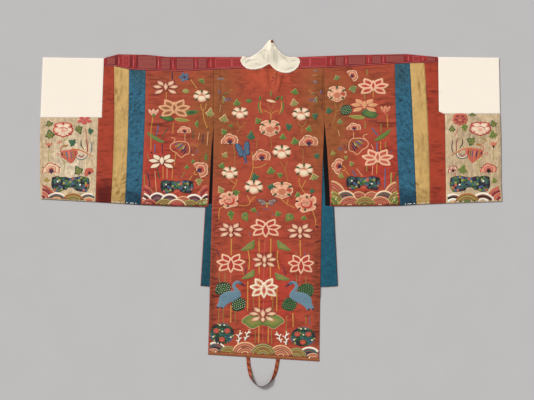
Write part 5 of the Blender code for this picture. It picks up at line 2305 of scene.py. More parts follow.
@dataclass
class Collar:
    """The white two-lobed collar, rolled up to a tip behind the neck, with the neckband inside it."""

    sections: tuple[CollarSection, ...] = named_rows(
        CollarSection,
        (-117.5, 592, 583), (-108, 606, 568), (-94, 599, 557), (-80, 601, 553),
        (-58, 613, 553), (-35, 631, 558), (-19, 652, 567), (-8, 665, 573), (-3, 667.5, 572), (3, 668, 565),
        (9, 659, 558), (23, 635, 548), (42, 613, 541), (58, 604, 539), (73, 601, 541), (92, 601, 550),
        (105, 598, 563), (111.5, 590, 580),
    )
    tip: Spot = Spot(2.0, 668.0)
    notch: Spot = Spot(-8.0, 572.0)
    ridge_height: float = 4.0
    lobes: tuple[Spot, ...] = (Spot(-66.0, 580.0), Spot(62.0, 570.0))
    lobe_height: float = 2.2
    lobe_half: float = 45.0
    rest: float = 0.35
    fall: float = 2.3
    rim_width: float = 5.5
    rim_height: float = 0.7
    mouth: Spot = Spot(3.5, 660.5)
    mouth_half: Spot = Spot(4.4, 6.2)
    mouth_lean: float = 20.0
    tuck: float = 1.35
    creases: tuple[Crease, ...] = named_rows(
        Crease,
        (-28, 606, 22, 7, 1.0, -62, 0.7), (-40, 622, 18, 6, 0.9, 34, 0.6),
        (-20, 628, 16, 6, 1.0, -22, 0.5), (-14, 600, 26, 7, 0.9, 86, 0.5), (16, 606, 34, 9, 1.3, 268, 0.9),
        (24, 628, 18, 7, 1.0, 208, 0.6), (40, 610, 24, 7, 1.1, -42, 0.7), (60, 592, 20, 7, 0.9, -56, 0.6),
        (82, 588, 18, 6, 0.7, 8, 0.4), (-92, 586, 18, 7, 0.9, 38, 0.6), (-70, 592, 22, 7, 0.7, 12, 0.4),
        (-50, 576, 20, 7, 0.6, -14, 0.35), (70, 560, 24, 7, 0.6, 16, 0.3), (8, 646, 12, 5, 0.8, 4, 0.35),
    )

    # Painted shade in the hollows beside the collar's ridge and lobes
    shades: tuple[Wash, ...] = named_rows(
        Wash,
        (-18, 604, 22, 44, Tone.IVORY_SHADE, 0.35), (20, 600, 14, 50, Tone.IVORY_SHADE, 0.55),
        (-96, 590, 26, 14, Tone.IVORY_SHADE, 0.4), (84, 592, 34, 9, Tone.IVORY_SHADE, 0.3),
        (46, 600, 24, 16, Tone.IVORY_SHADE, 0.3), (2, 628, 7, 12, Tone.IVORY_SHADE, 0.3),
    )

    @property
    def creased(self) -> Lay:
        """The collar's own creases."""
        return Lay((), self.creases)

    def neck_fall(self, y: Numbers) -> Numbers:
        """How far the neckband and the collar sink past the shoulder."""
        return self.fall * smooth(602.0, 655.0, y)

    def section(self, x: Numbers) -> tuple[Numbers, Numbers]:
        """The upper and lower edge at x."""
        top = edge(*((s.x, s.top) for s in self.sections)).y_at(x)
        return top, edge(*((s.x, s.foot) for s in self.sections)).y_at(x)

    def under(self, x: Numbers, y: Numbers) -> Numbers:
        """Height of the underside: on the robe, with a ridge from tip to notch and two lobes.

        Args:
            x: places across the robe.
            y: places up the robe.

        Returns:
            The height at each place.
        """
        resting = LAY.under(x, y) + BACK_WALL + self.rest - self.neck_fall(y)
        share = (self.tip.y - y) / (self.tip.y - self.notch.y)
        middle = blend(self.tip.x, self.notch.x, share)
        half = blend(12.0, 26.0, np.clip(share, 0.0, 1.0))
        across = np.clip(np.abs(x - middle) / half, 0.0, 1.0)
        ridge = self.ridge_height * smooth(1.0, 0.0, across) * smooth(1.05, 0.6, share)
        for lobe in self.lobes:
            away = np.hypot(x - lobe.x, 1.7 * (y - lobe.y))
            ridge = ridge + self.lobe_height * smooth(self.lobe_half, 0.0, away)
        return resting + ridge

    def top(self, x: Numbers, y: Numbers) -> Numbers:
        """Height of the collar's top, with its creases, its rolled rim and the hollow of its mouth.

        Args:
            x: places across the robe.
            y: places up the robe.

        Returns:
            The height at each place.
        """
        upper, lower = self.section(x)
        rim = self.rim_height * np.exp(-(((y - lower) / self.rim_width - 0.55) ** 2) / 0.12)
        hollow = 2.2 * smooth(1.15, 0.6, self.mouth_share(x, y))
        lip = 0.9 * np.exp(-((self.mouth_share(x, y) - 1.3) ** 2) / 0.05)
        edge_roll = 0.9 * (1.0 - smooth(0.0, 5.0, np.minimum(upper - y, y - lower)))
        return self.under(x, y) + COLLAR_WALL + self.creased.creased(x, y)[0] + rim + lip - hollow - edge_roll

    def mouth_share(self, x: Numbers, y: Numbers) -> Numbers:
        """Distance from the mouth's middle, as a share of its leaning oval.

        Args:
            x: places across the robe.
            y: places up the robe.

        Returns:
            0 in the middle and 1 on the oval.
        """
        lean = math.radians(self.mouth_lean)
        dx, dy = x - self.mouth.x, y - self.mouth.y
        side = dx * math.cos(lean) + dy * math.sin(lean)
        rise = dy * math.cos(lean) - dx * math.sin(lean)
        return np.hypot(side / self.mouth_half.x, rise / self.mouth_half.y)

    def dye(self, x: Numbers, y: Numbers, u: Numbers, w: Numbers) -> Numbers:
        """Ivory, paler on the ridge and the lobes and along the rim, with painted shade in its hollows, along
        its creases and in its mouth.

        Args:
            x: places across the robe.
            y: places up the robe.
            u: places across the piece.
            w: places along the piece.

        Returns:
            The colour at each place.
        """
        lower = self.section(x)[1]
        tones = np.tile(Tone.IVORY.linear, (len(x), 1))
        for shade in self.shades:
            away = np.hypot((x - shade.x) / shade.half_width, (y - shade.y) / shade.half_height)
            tones = mix(tones, shade.tone.linear, shade.strength * smooth(1.0, 0.2, away))
        # Painted shade along the collar's own creases
        soil = self.creased.creased(x, y)[1]
        tones = mix(tones, Tone.IVORY_SHADE.linear * 0.8, np.clip(0.8 * soil, 0.0, 0.8))
        rim = smooth(1.4 * self.rim_width, 0.6 * self.rim_width, y - lower)
        tones = mix(tones, Tone.IVORY_RIM.linear, rim)
        # The mouth's hollow is painted dark, as shade
        return mix(tones, Tone.TAPE_DARK.linear, 0.9 * smooth(1.05, 0.85, self.mouth_share(x, y)))

    def place(self, u: Numbers, w: Numbers) -> Points:
        """The collar's top surface.

        Args:
            u: places across the robe.
            w: places from the lower edge to the upper one.

        Returns:
            x, y and z of each place.
        """
        upper, lower = self.section(u)
        y = blend(lower, upper, w)
        return u, y, self.top(u, y)

    def neckband_place(self, u: Numbers, w: Numbers) -> Points:
        """The top of the red neckband inside the collar, from the back panel to near the tip.

        Args:
            u: places across the piece.
            w: places up the robe.

        Returns:
            x, y and z of each place.
        """
        left = edge((-92, 600), (-70, 604), (-50, 613), (-27, 632), (-13, 650), (-8, 657))
        right = edge((92, 600), (52, 604), (34, 613), (17, 632), (7, 650), (2, 657))
        high = np.maximum(w, 600.0)
        x = blend(left.x_at(high), right.x_at(high), u)
        y = np.where(w > 600.0, w, blend(BAND_FOOT.y_at(x) + GAP / 2, 600.0, (w - 558.0) / 42.0))
        return x, y, LAY.under(x, y) - self.neck_fall(y) + BACK_WALL

    def mouth_place(self, u: Numbers, w: Numbers) -> Points:
        """The neckband's end, domed a little inside the mouth.

        Args:
            u: places across the piece.
            w: places along the piece.

        Returns:
            x, y and z of each place.
        """
        half = self.mouth_half.x * np.sqrt(np.maximum(1.0 - (w / self.tuck) ** 2, 0.05))
        lean = math.radians(self.mouth_lean)
        side, rise = u * half, w * self.mouth_half.y
        x = self.mouth.x + side * math.cos(lean) - rise * math.sin(lean)
        y = self.mouth.y + side * math.sin(lean) + rise * math.cos(lean)
        share = self.mouth_share(x, y)
        dome = 0.8 * smooth(1.0, 0.2, share) - 1.7 * smooth(0.85, 1.1, share)
        return x, y, self.under(x, y) + COLLAR_WALL - 0.3 + dome

    def mouth_dye(self, x: Numbers, y: Numbers, u: Numbers, w: Numbers) -> Numbers:
        """Red-brown cloth, darker towards its lower end."""
        tones = np.tile(Tone.TAPE_RED.linear, (len(x), 1))
        return mix(tones, Tone.TAPE_DARK.linear, smooth(0.5, -0.8, w))

    def make(self, neck: Dye) -> None:
        """Makes the collar, the neckband inside it and the band's end in its mouth.

        Args:
            neck: the neckband's dye.
        """
        columns: list[float] = []
        for near, far in zip(self.sections, self.sections[1:]):
            columns += stops(near.x, far.x, max(3, round((far.x - near.x) / 1.6)))[:-1]
        columns.append(self.sections[-1].x)
        Cloth(
            name="collar", slot="ivory_collar", finish=COLLAR_CLOTH, across=columns,
            along=stops(0.0, 1.0, 60), place=self.place, dye=self.dye, wall=1.0,
            rests_on=("back_panel", "neckband_back"), held="folded",
        ).make()
        Cloth(
            name="neckband_back", slot="strip_red", finish=STRIP_SILK, across=stops(0.0, 1.0, 40),
            along=stops(558.0, 600.0, 10) + stops(600.0, 657.0, 16)[1:], place=self.neckband_place,
            dye=neck, wall=BACK_WALL, rests_on=("shoulder_band_left",),
        ).make()
        Cloth(
            name="collar_mouth", slot="hem_tape", finish=TAPE_CLOTH,
            across=stops(-self.tuck, self.tuck, 12), along=stops(-self.tuck, self.tuck, 16),
            place=self.mouth_place, dye=self.mouth_dye, wall=0.5, rests_on=("collar",), held="folded",
        ).make()


@dataclass
class HemLoop:
    """The tape loop sewn to the hem. It lies flat at its ends and turns on edge at its far side."""

    route: tuple[Spot, ...] = named_rows(
        Spot,
        (-88.6, -554.8), (-86.5, -580), (-82.5, -606), (-77, -632), (-62, -656), (-37, -667.2),
        (-12, -657), (6, -638), (16, -614), (22, -590), (26.5, -561.8),
    )
    width: float = 14.0
    twist: float = math.radians(80.0)
    flat_end: float = 1.2
    full_turn: float = 4.2

    def point(self, t: Numbers) -> Numbers:
        """Places on the smooth curve through the route, as complex numbers.

        Args:
            t: places along the route, in steps of its spots.

        Returns:
            The places.
        """
        line = np.array([complex(*spot) for spot in self.route])
        first = np.clip(t.astype(int), 0, len(line) - 2)
        a, b = line[np.maximum(first - 1, 0)], line[first]
        c, d = line[first + 1], line[np.minimum(first + 2, len(line) - 1)]
        return spline(a, b, c, d, t - first)

    def place(self, u: Numbers, w: Numbers) -> Points:
        """The middle of the tape's wall.

        Args:
            u: places across the piece.
            w: places along the piece.

        Returns:
            x, y and z of each place.
        """
        last = len(self.route) - 1.0
        along = self.point(np.minimum(w + 0.05, last)) - self.point(np.maximum(w - 0.05, 0.0))
        along = np.where(w == 0, -1j, np.where(w == last, 1j, along))
        sideways = 1j * along / np.abs(along)
        twist = self.twist * smooth(self.flat_end, self.full_turn, np.minimum(w, last - w))
        half = self.width / 2
        spot = self.point(w) + u * half * sideways * np.cos(twist)
        rise = TAPE_WALL / 2 * np.cos(twist) + half * np.sin(twist)
        return spot.real, spot.imag, rise + u * half * np.sin(twist)

    def dye(self, x: Numbers, y: Numbers, u: Numbers, w: Numbers) -> Numbers:
        """Orange-red tape with slanting dark ticks, darker where it stands on edge.

        Args:
            x: places across the robe.
            y: places up the robe.
            u: places across the piece.
            w: places along the piece.

        Returns:
            The colour at each place.
        """
        tones = np.tile(Tone.TAPE_RED.linear, (len(x), 1))
        tones = mix(tones, Tone.BINDING_PALE.linear, 0.35 * smooth(0.2, 0.9, np.sin(w * 7.3 - 1.2 * u + 2.2)))
        tones = mix(tones, Tone.TAPE_DARK.linear, 0.75 * smooth(0.45, 0.95, np.sin(w * 7.3 - 1.2 * u)))
        last = len(self.route) - 1.0
        return mix(tones, Tone.TAPE_EDGE.linear, 0.85 * smooth(2.6, 3.6, np.minimum(w, last - w)))

    def make(self) -> None:
        """Makes the loop."""
        piece = Cloth(
            name="hem_loop", slot="hem_tape", finish=TAPE_CLOTH, across=stops(-1.0, 1.0, 6),
            along=stops(0.0, len(self.route) - 1.0, 150), place=self.place, dye=self.dye, wall=TAPE_WALL,
            rests_on=("floor",), wrapped=True, held="folded",
        ).make()
        piece.modifiers["wall"].offset = 0.0


@dataclass
class Studio:
    """A plain pale floor, soft light from the upper left, and the camera straight above the robe."""

    view_width: float = 2057.5
    centre: Spot = Spot(-15.4, 50.7)
    lens: float = 85.0
    sensor: float = 36.0
    floor_half: float = 6.0
    floor_drop: float = 0.4

    def make(self) -> None:
        """Makes the floor, the lights and the camera."""
        self._floor()
        self._lights()
        self._camera()

    def _floor(self) -> None:
        """The floor, just under the robe."""
        bpy.ops.mesh.primitive_plane_add(size=2 * self.floor_half, location=(0, 0, -self.floor_drop * MM))
        floor = bpy.context.object
        floor.name = "floor"
        bench = NodeBench("pale_floor")
        place = bench.add("TexCoord").outputs["Object"]
        grain = bench.noise(place, 6.0, 6.0)
        pale = bench.add("RGB").outputs[0]
        pale.default_value = (0.52, 0.505, 0.51, 1.0)
        bench.surface(bench.shade(pale, bench.ranged(grain, 0.985, 1.015)), 0.9, grain, 1e-5)
        floor.data.materials.append(bench.material)

    def _lights(self) -> None:
        """A broad key light from the upper left, and an even light from all round."""
        key = bpy.data.lights.new("key_light", "SUN")
        key.energy = 2.9
        key.angle = math.radians(16.0)
        lamp = bpy.data.objects.new("key_light", key)
        lamp.rotation_euler = Vector((0.7, -0.7, -0.7)).to_track_quat("-Z", "Y").to_euler()
        bpy.context.scene.collection.objects.link(lamp)
        world = bpy.data.worlds.new("soft_light")
        world.use_nodes = True
        world.node_tree.nodes["Background"].inputs["Color"].default_value = (1.0, 0.985, 0.97, 1.0)
        world.node_tree.nodes["Background"].inputs["Strength"].default_value = 0.45
        bpy.context.scene.world = world
        bpy.context.scene.view_settings.view_transform = "Standard"

    def _camera(self) -> None:
        """The camera, level with the floor, with the collar at the top of its view."""
        data = bpy.data.cameras.new("camera")
        data.lens = self.lens
        data.sensor_width = self.sensor
        camera = bpy.data.objects.new("camera", data)
        height = self.view_width * self.lens / self.sensor
        camera.location = (self.centre.x * MM, self.centre.y * MM, height * MM)
        bpy.context.scene.collection.objects.link(camera)
        bpy.context.scene.camera = camera


# The tones of a motif: its rim, its inside and its middle or veins
DARK = (Tone.DARK_LEAF, Tone.BLUE_LEAF, Tone.LEAF)
PALE = (Tone.PALE_LEAF, Tone.OLIVE, Tone.PEACH)
FRESH = (Tone.LEAF, Tone.LEAF, Tone.MOSS)
PALE_LOTUS = (Tone.PALE_CREAM, Tone.CREAM, Tone.FLOWER_RED)
RED_BUD = (Tone.FLOWER_RED, Tone.CORAL, Tone.FLOWER_RED)
DARK_EDGED = (Tone.DARK_LEAF, Tone.OLIVE, Tone.DARK_LEAF)
BLUE_STAR = (Tone.STEEL, Tone.CRANE_SHADE, Tone.NAVY)


def stems(tone: Tone, width: float, *lines: tuple[complex, ...]) -> list[Stem]:
    """Stems of one tone and width, each through its own places."""
    return [Stem(tone, width, line) for line in lines]


CENTRE_STEMS = (
    *stems(
        Tone.OCHRE, 2.8, (-146+270j, -139+224j, -139+174j), (-50+293j, -58+247j), (-4+293j, 2+268j, 0+247j),
        (35+201j, 54+166j, 66+120j), (66+201j, 60+186j, 54+166j), (123+251j, 124+218j, 119+186j),
        (-131+355j, -127+338j, -119+328j, -131+309j), (-100+355j, -106+338j, -119+328j),
        (104+355j, 108+341j, 119+332j, 119+309j), (135+355j, 131+342j, 119+332j),
    ),
    *stems(
        Tone.GOLD, 3.0, (-73+236j, -69+174j, -85+124j), (108+135j, 112+105j, 139+66j), (135+128j, 119+97j),
        (-92+70j, -81+39j, -100+28j, -127+31j), (-58+66j, -72+54j, -81+39j), (39+55j, 62+35j, 92+20j),
        (66+55j, 62+35j), (-166+28j, -197+16j, -200-23j), (158+12j, 170-19j, 173-50j),
        (-131+132j, -135+112j, -150+89j), (-158+128j, -135+112j), (-15+193j, -40+178j, -69+174j),
    ),
    *stems(
        Tone.GOLD, 4.4, (-46-88j, -45-300j, -47-500j), (0-96j, -2-260j, 4-340j), (-152-96j, -153-165j),
        (112-103j, 114-169j), (-89-142j, -83-176j, -85-219j), (27-142j, 24-176j, 33-219j),
        (-89-258j, -90-381j), (23-277j, 22-381j), (-154-352j, -155-425j), (84-384j, 86-440j),
        (-46-440j, -48-502j), (-10-440j, -11-502j),
    ),
    *stems(
        Tone.CORAL, 3.0, (-23-98j, -24-170j), (-154-219j, -155-268j), (112-227j, 111-290j),
        (-27-205j, -27-262j), (-28-320j, -29-376j), (-31-440j, -31-502j),
    ),
    *stems(
        Tone.OLIVE, 2.4, (-200-228j, -198-262j, -190-300j), (-178-228j, -176-270j), (-132-160j, -134-186j),
        (96-150j, 99-182j), (96-232j, 100-268j), (134-240j, 136-290j), (-108-224j, -104-246j),
        (-70-262j, -70-320j), (6-262j, 2-300j), (-67-320j, -66-392j), (8-320j, 7-392j),
        (-184-366j, -184-424j), (-200-366j, -202-424j), (-138-372j, -137-424j), (60-392j, 58-466j),
        (-60-448j, -61-505j), (2-448j, 3-505j), (134-390j, 135-430j),
    ),
    *stems(
        Tone.PURPLE, 3.8, (-213-138j, -204-150j, -199-170j), (-95-204j, -98-222j, -96-238j),
        (46-203j, 52-222j, 57-240j),
    ),
    *stems(
        Tone.STEEL, 2.8, (-84-70j, -78-88j), (131-150j, 130-164j), (150-158j, 142-166j),
        (148-396j, 150-432j), (-48-10j, -54+4j), (4+0j, 14-8j),
    ),
)

CORNER_WAVE = (Tone.SOFT_WHITE, Tone.TEAL_THREAD, Tone.NAVY, Tone.TEAL_THREAD, Tone.SOFT_WHITE)
GREEN_WAVE = (Tone.PALE_LEAF, Tone.MOSS, Tone.OLIVE, Tone.MOSS, Tone.PALE_LEAF, Tone.LEAF)
ROSE_WAVE = (Tone.PEACH, Tone.SALMON, Tone.PEACH, Tone.SALMON, Tone.PEACH, Tone.CORAL)
CENTRE_WAVES = named_rows(
    Wave,
    (-214, -541, 46, CORNER_WAVE), (148, -564, 50, CORNER_WAVE), (-166, -549, 38, GREEN_WAVE),
    (98, -560, 42, GREEN_WAVE), (-100, -549, 54, ROSE_WAVE), (38, -557, 50, ROSE_WAVE),
    (-31, -553, 51, GREEN_WAVE), (-222, -548, 28, ROSE_WAVE), (162, -570, 32, ROSE_WAVE),
)

CENTRE_MOTIFS = (
    Motif(Kind.WORN_BUTTERFLY, -177, 448, 60, 62), Motif(Kind.WORN_BUTTERFLY, 170, 446, -58, 62),
    *many(
        Kind.PATCH, (Tone.CRANE_BLUE, Tone.FADED_RED), (-193, 517, 30, 10, 4), (172, 548, 20, 8),
        (170, 505, 16, 14),
    ),
    *many(Kind.PATCH, (Tone.PEACH, Tone.FADED_RED), (170, 531, 20, 5, 10), (-195, 402, 30, 5, 80)),
    *many(
        Kind.PATCH, (Tone.SOIL, Tone.DEEP_ROSE), (9, 521, 16, 7, -30), (6, 510, 12, 5, 20),
        (-12, 522, 7, 4, 60),
    ),
    *many(
        Kind.LEAF, FRESH, (-131, 424, 27, 27, 8), (92, 467, 29, 25, -14), (-50, 355, 25, 25, 30),
        (146, 324, 24, 25, -20), (-181, 313, 24, 25, 40), (46, 293, 25, 25, -6), (92, 276, 30, 30, 14),
        (-189, 182, 24, 25, -24), (0, 162, 31, 30, 6), (35, 147, 20, 24, 60), (-135, 78, 31, 27, 180),
        (104, 70, 24, 23, 10), (-154, -6, 25, 40, 186), (-66, 12, 24, 19, -20), (27, -3, 26, 23, 24),
        (127, -19, 24, 17, -4),
    ),
    *many(
        Kind.LEAF, DARK, (69, 332, 32, 26, -70), (170, 374, 27, 25, 60), (-77, 297, 31, 37, -6),
        (-62, 139, 32, 31, 20), (0, 101, 27, 27, -30), (158, 85, 20, 20, 10), (177, 220, 24, 24, -40),
    ),
    *many(
        Kind.LEAF, PALE, (89, 424, 31, 31, 10), (-181, 363, 35, 33, -12), (166, 139, 35, 28, 16),
        (-193, 89, 27, 31, 30), (-177, 224, 24, 24, -30),
    ),
    *many(Kind.PATCH, (Tone.LEAF,), (-85, 432, 25, 22), (-154, 336, 19, 15)),
    Motif(Kind.BUDS, 0, 417, 96, 116),
    *many(
        Kind.WHITE_PEONY, (), (-119, 386, 68, 50), (116, 382, 74, 56), (42, 236, 77, 60),
        (-158, 155, 68, 54),
    ),
    *many(Kind.WHITE_PEONY, (), (127, 166, 77, 60), (-66, 101, 77, 62)),
    *many(Kind.FRONTAL_PEONY, (), (-4, 328, 86, 66), (42, 89, 92, 68)),
    *many(Kind.SIDE_PEONY, (), (-158, 284, 66, 54), (146, 278, 73, 56), (-35, 222, 69, 58)),
    *many(Kind.ROUND_PEONY, (), (-162, 51, 77, 70), (135, 39, 85, 78)),
    Motif(Kind.BUTTERFLY, -104, 232, 58, 84, 12),
    Motif(Kind.SPREAD_BUTTERFLY, -15, 35, 77, 42),
    *many(Kind.PATCH, (Tone.NEAR_BLACK,), (-208, -30, 12, 6, 20), (176, -52, 14, 9, -30)),
    Motif(Kind.POD, -100, -15, 38, 40, 24), Motif(Kind.POD, 69, -16, 44, 38, -42),
    *many(
        Kind.LOTUS_LEAF, (), (-89, -127, 54, 46), (50, -127, -54, 46), (-87, -238, 52, 38, 4),
        (44, -246, -56, 38, 6),
    ),
    *many(Kind.OUTLINED_LOTUS, (), (-20, -57, 112, 68), (-154, -192, 106, 70), (116, -196, 96, 72)),
    Motif(Kind.OUTLINED_LOTUS, -27, -288, 104, 74, 0, PALE_LOTUS),
    *many(Kind.FILLED_LOTUS, (), (-154, -65, 102, 62), (112, -69, 104, 64), (-25, -181, 98, 62)),
    Motif(Kind.WIDE_LEAF, -31, -414, 164, 66),
    Motif(Kind.FILLED_LOTUS, -31, -390, 110, 64),
    *many(Kind.LATTICE_LEAF, (), (-184, -290, 66, 50, 10), (-124, -351, 60, 54, 20)),
    *many(
        Kind.LATTICE_LEAF, (Tone.DARK_LEAF, Tone.DARK_LEAF, Tone.PALE_LEAF), (134, -300, 70, 60, 24),
        (72, -352, 58, 54, -10),
    ),
    Motif(Kind.CRANE, -150, -318, 112, 112), Motif(Kind.CRANE, 106, -322, -112, 118),
    *many(Kind.PATCH, (Tone.NEAR_BLACK,), (-50, -506, 9, 7), (-31, -506, 9, 7), (-12, -506, 9, 7)),
    Motif(Kind.CLUMP, -189, -464, 96, 82), Motif(Kind.CLUMP, 123, -476, 98, 76),
    *many(
        Kind.SPRIG, (), (-123, -477, 28, 52), (-92, -469, 26, 46, -14), (31, -477, -28, 46, 14),
        (58, -481, 30, 54, 8),
    ),
)

CENTRE = Pattern(CENTRE_STEMS, CENTRE_WAVES, CENTRE_MOTIFS)

CORAL_WAVE = (Tone.PEACH, Tone.CORAL, Tone.SALMON, Tone.CORAL, Tone.PEACH, Tone.CORAL)
DARK_WAVE = (Tone.CORAL, Tone.DEEP_ROSE, Tone.CORAL, Tone.DEEP_ROSE, Tone.CORAL)
MOSS_WAVE = (Tone.MOSS, Tone.OLIVE, Tone.MOSS, Tone.LEAF, Tone.OLIVE, Tone.DARK_LEAF)
NAVY_WAVE = (Tone.SOFT_WHITE, Tone.NAVY, Tone.STEEL, Tone.PURPLE)
WHITE_WAVE = (Tone.SOFT_WHITE, Tone.NEAR_BLACK, Tone.SOFT_WHITE, Tone.PEACH, Tone.CORAL)
OCHRE_WAVE = (Tone.OCHRE, Tone.MOSS, Tone.OLIVE, Tone.LEAF, Tone.OLIVE, Tone.DARK_LEAF)
BLUE_WAVE = (Tone.CREAM, Tone.TEAL_THREAD, Tone.NAVY, Tone.STEEL, Tone.PURPLE)
TEAL_WAVE = (Tone.SOFT_WHITE, Tone.TEAL_THREAD, Tone.PEACH, Tone.CORAL, Tone.PEACH, Tone.CORAL)

LEFT_PANEL = Pattern(
    (
        *stems(
            Tone.GOLD, 3.2, (-452+383j, -457+350j, -462+318j, -462+240j), (-270+421j, -268+404j, -261+391j),
            (-248+423j, -252+404j, -261+391j, -257+360j, -244+325j), (-403+467j, -403+435j),
            (-376+350j, -378+304j), (-309+515j, -296+496j, -284+478j), (-416+182j, -415+131j),
            (-378+175j, -382+131j), (-292+163j, -296+150j, -282+148j), (-302+146j, -315+127j),
            (-366+236j, -370+200j, -372+182j),
        ),
        *stems(
            Tone.PEACH, 2.8, (-447+163j, -444+120j, -441+81j), (-400+175j, -400+131j),
            (-331+318j, -331+276j), (-275+310j, -280+282j), (-242+316j, -246+260j),
        ),
        *stems(
            Tone.DARK_LEAF, 4.2, (-440+173j, -432+150j, -430+131j), (-300+320j, -300+284j),
            (-397+325j, -412+306j, -419+289j),
        ),
        *stems(
            Tone.PURPLE, 4.6, (-476+157j, -470+130j, -467+100j), (-420+266j, -417+226j),
            (-260+306j, -264+268j),
        ),
        *stems(Tone.STEEL, 4.8, (-433+341j, -437+318j, -441+299j), (-447+268j, -447+230j)),
        *stems(
            Tone.OLIVE, 3.0, (-488+154j, -486+105j), (-477+230j, -470+208j),
            (-344+136j, -338+150j, -330+158j),
        ),
        *stems(Tone.DEEP_ROSE, 2.2, (-353+132j, -350+148j, -338+150j), (-340+130j, -330+142j, -322+140j)),
    ),
    named_rows(
        Wave,
        (-506, 52, 62, DARK_WAVE), (-226, 54, 60, DARK_WAVE), (-438, 42, 38, NAVY_WAVE),
        (-390, 36, 40, NAVY_WAVE), (-296, 34, 40, NAVY_WAVE), (-338, 30, 36, CORAL_WAVE),
        (-500, 34, 46, WHITE_WAVE), (-234, 34, 44, WHITE_WAVE), (-470, 18, 38, DARK_WAVE),
        (-256, 16, 40, MOSS_WAVE), (-410, 14, 42, MOSS_WAVE), (-312, 14, 38, MOSS_WAVE),
        (-362, 14, 42, (Tone.CREAM, Tone.CORAL, Tone.ROSE, Tone.CORAL, Tone.LEAF)),
    ),
    (
        Motif(Kind.BLADE, -380, 528, 7, 36, 2, (Tone.PURPLE,)),
        Motif(Kind.STAR_FLOWER, -334, 524, 42, 38, 20, BLUE_STAR),
        *many(Kind.PATCH, (Tone.NEAR_BLACK,), (-317, 517, 11, 9, 30), (-460, 233, 8, 8), (-243, 324, 8, 6)),
        *many(
            Kind.LEAF, FRESH, (-266, 509, 28, 18, -30), (-285, 343, 27, 16, 90), (-324, 177, 18, 18),
            (-300, 199, 16, 16, 20),
        ),
        Motif(Kind.BLADE, -304, 388, 25, 58, -84, (Tone.LEAF, Tone.DARK_LEAF)),
        Motif(Kind.BLADE, -402, 366, 26, 60, 78, (Tone.DARK_LEAF, Tone.LEAF)),
        Motif(Kind.BLADE, -342, 359, 20, 62, -96, (Tone.MOSS, Tone.OLIVE)),
        *many(Kind.LEAF, PALE, (-235, 386, 32, 37, -10), (-277, 122, 28, 30, 180)),
        Motif(Kind.BLADE, -250, 216, 14, 34, 0, (Tone.LEAF,)),
        Motif(Kind.LONG_LEAF, -443, 290, -70, 44),
        Motif(Kind.PATCH, -328, 470, 28, 26, 0, (Tone.PALE_LEAF, Tone.MOSS)),
        Motif(Kind.WHITE_PEONY, -266, 451, 70, 52),
        Motif(Kind.CUP_LOTUS, -405, 484, 104, 60),
        Motif(Kind.OPEN_LOTUS, -372, 403, 116, 66, 0, (Tone.PEACH, Tone.TAN_ROSE, Tone.FADED_RED)),
        Motif(Kind.TULIP, -452, 385, 48, 36), Motif(Kind.SIDE_PEONY, -333, 320, 50, 34),
        Motif(Kind.SIDE_PEONY, -266, 170, 62, 64, -62), Motif(Kind.BIRD, -335, 248, 120, 72),
        Motif(Kind.CUP_LOTUS, -420, 199, 104, 60, 0, (Tone.CREAM, Tone.PALE_CREAM, Tone.MAROON)),
        Motif(Kind.ROCK, -362, 102, 124, 50),
        Motif(Kind.TULIP, -363, 82, 30, 30, 0, RED_BUD),
    ),
)

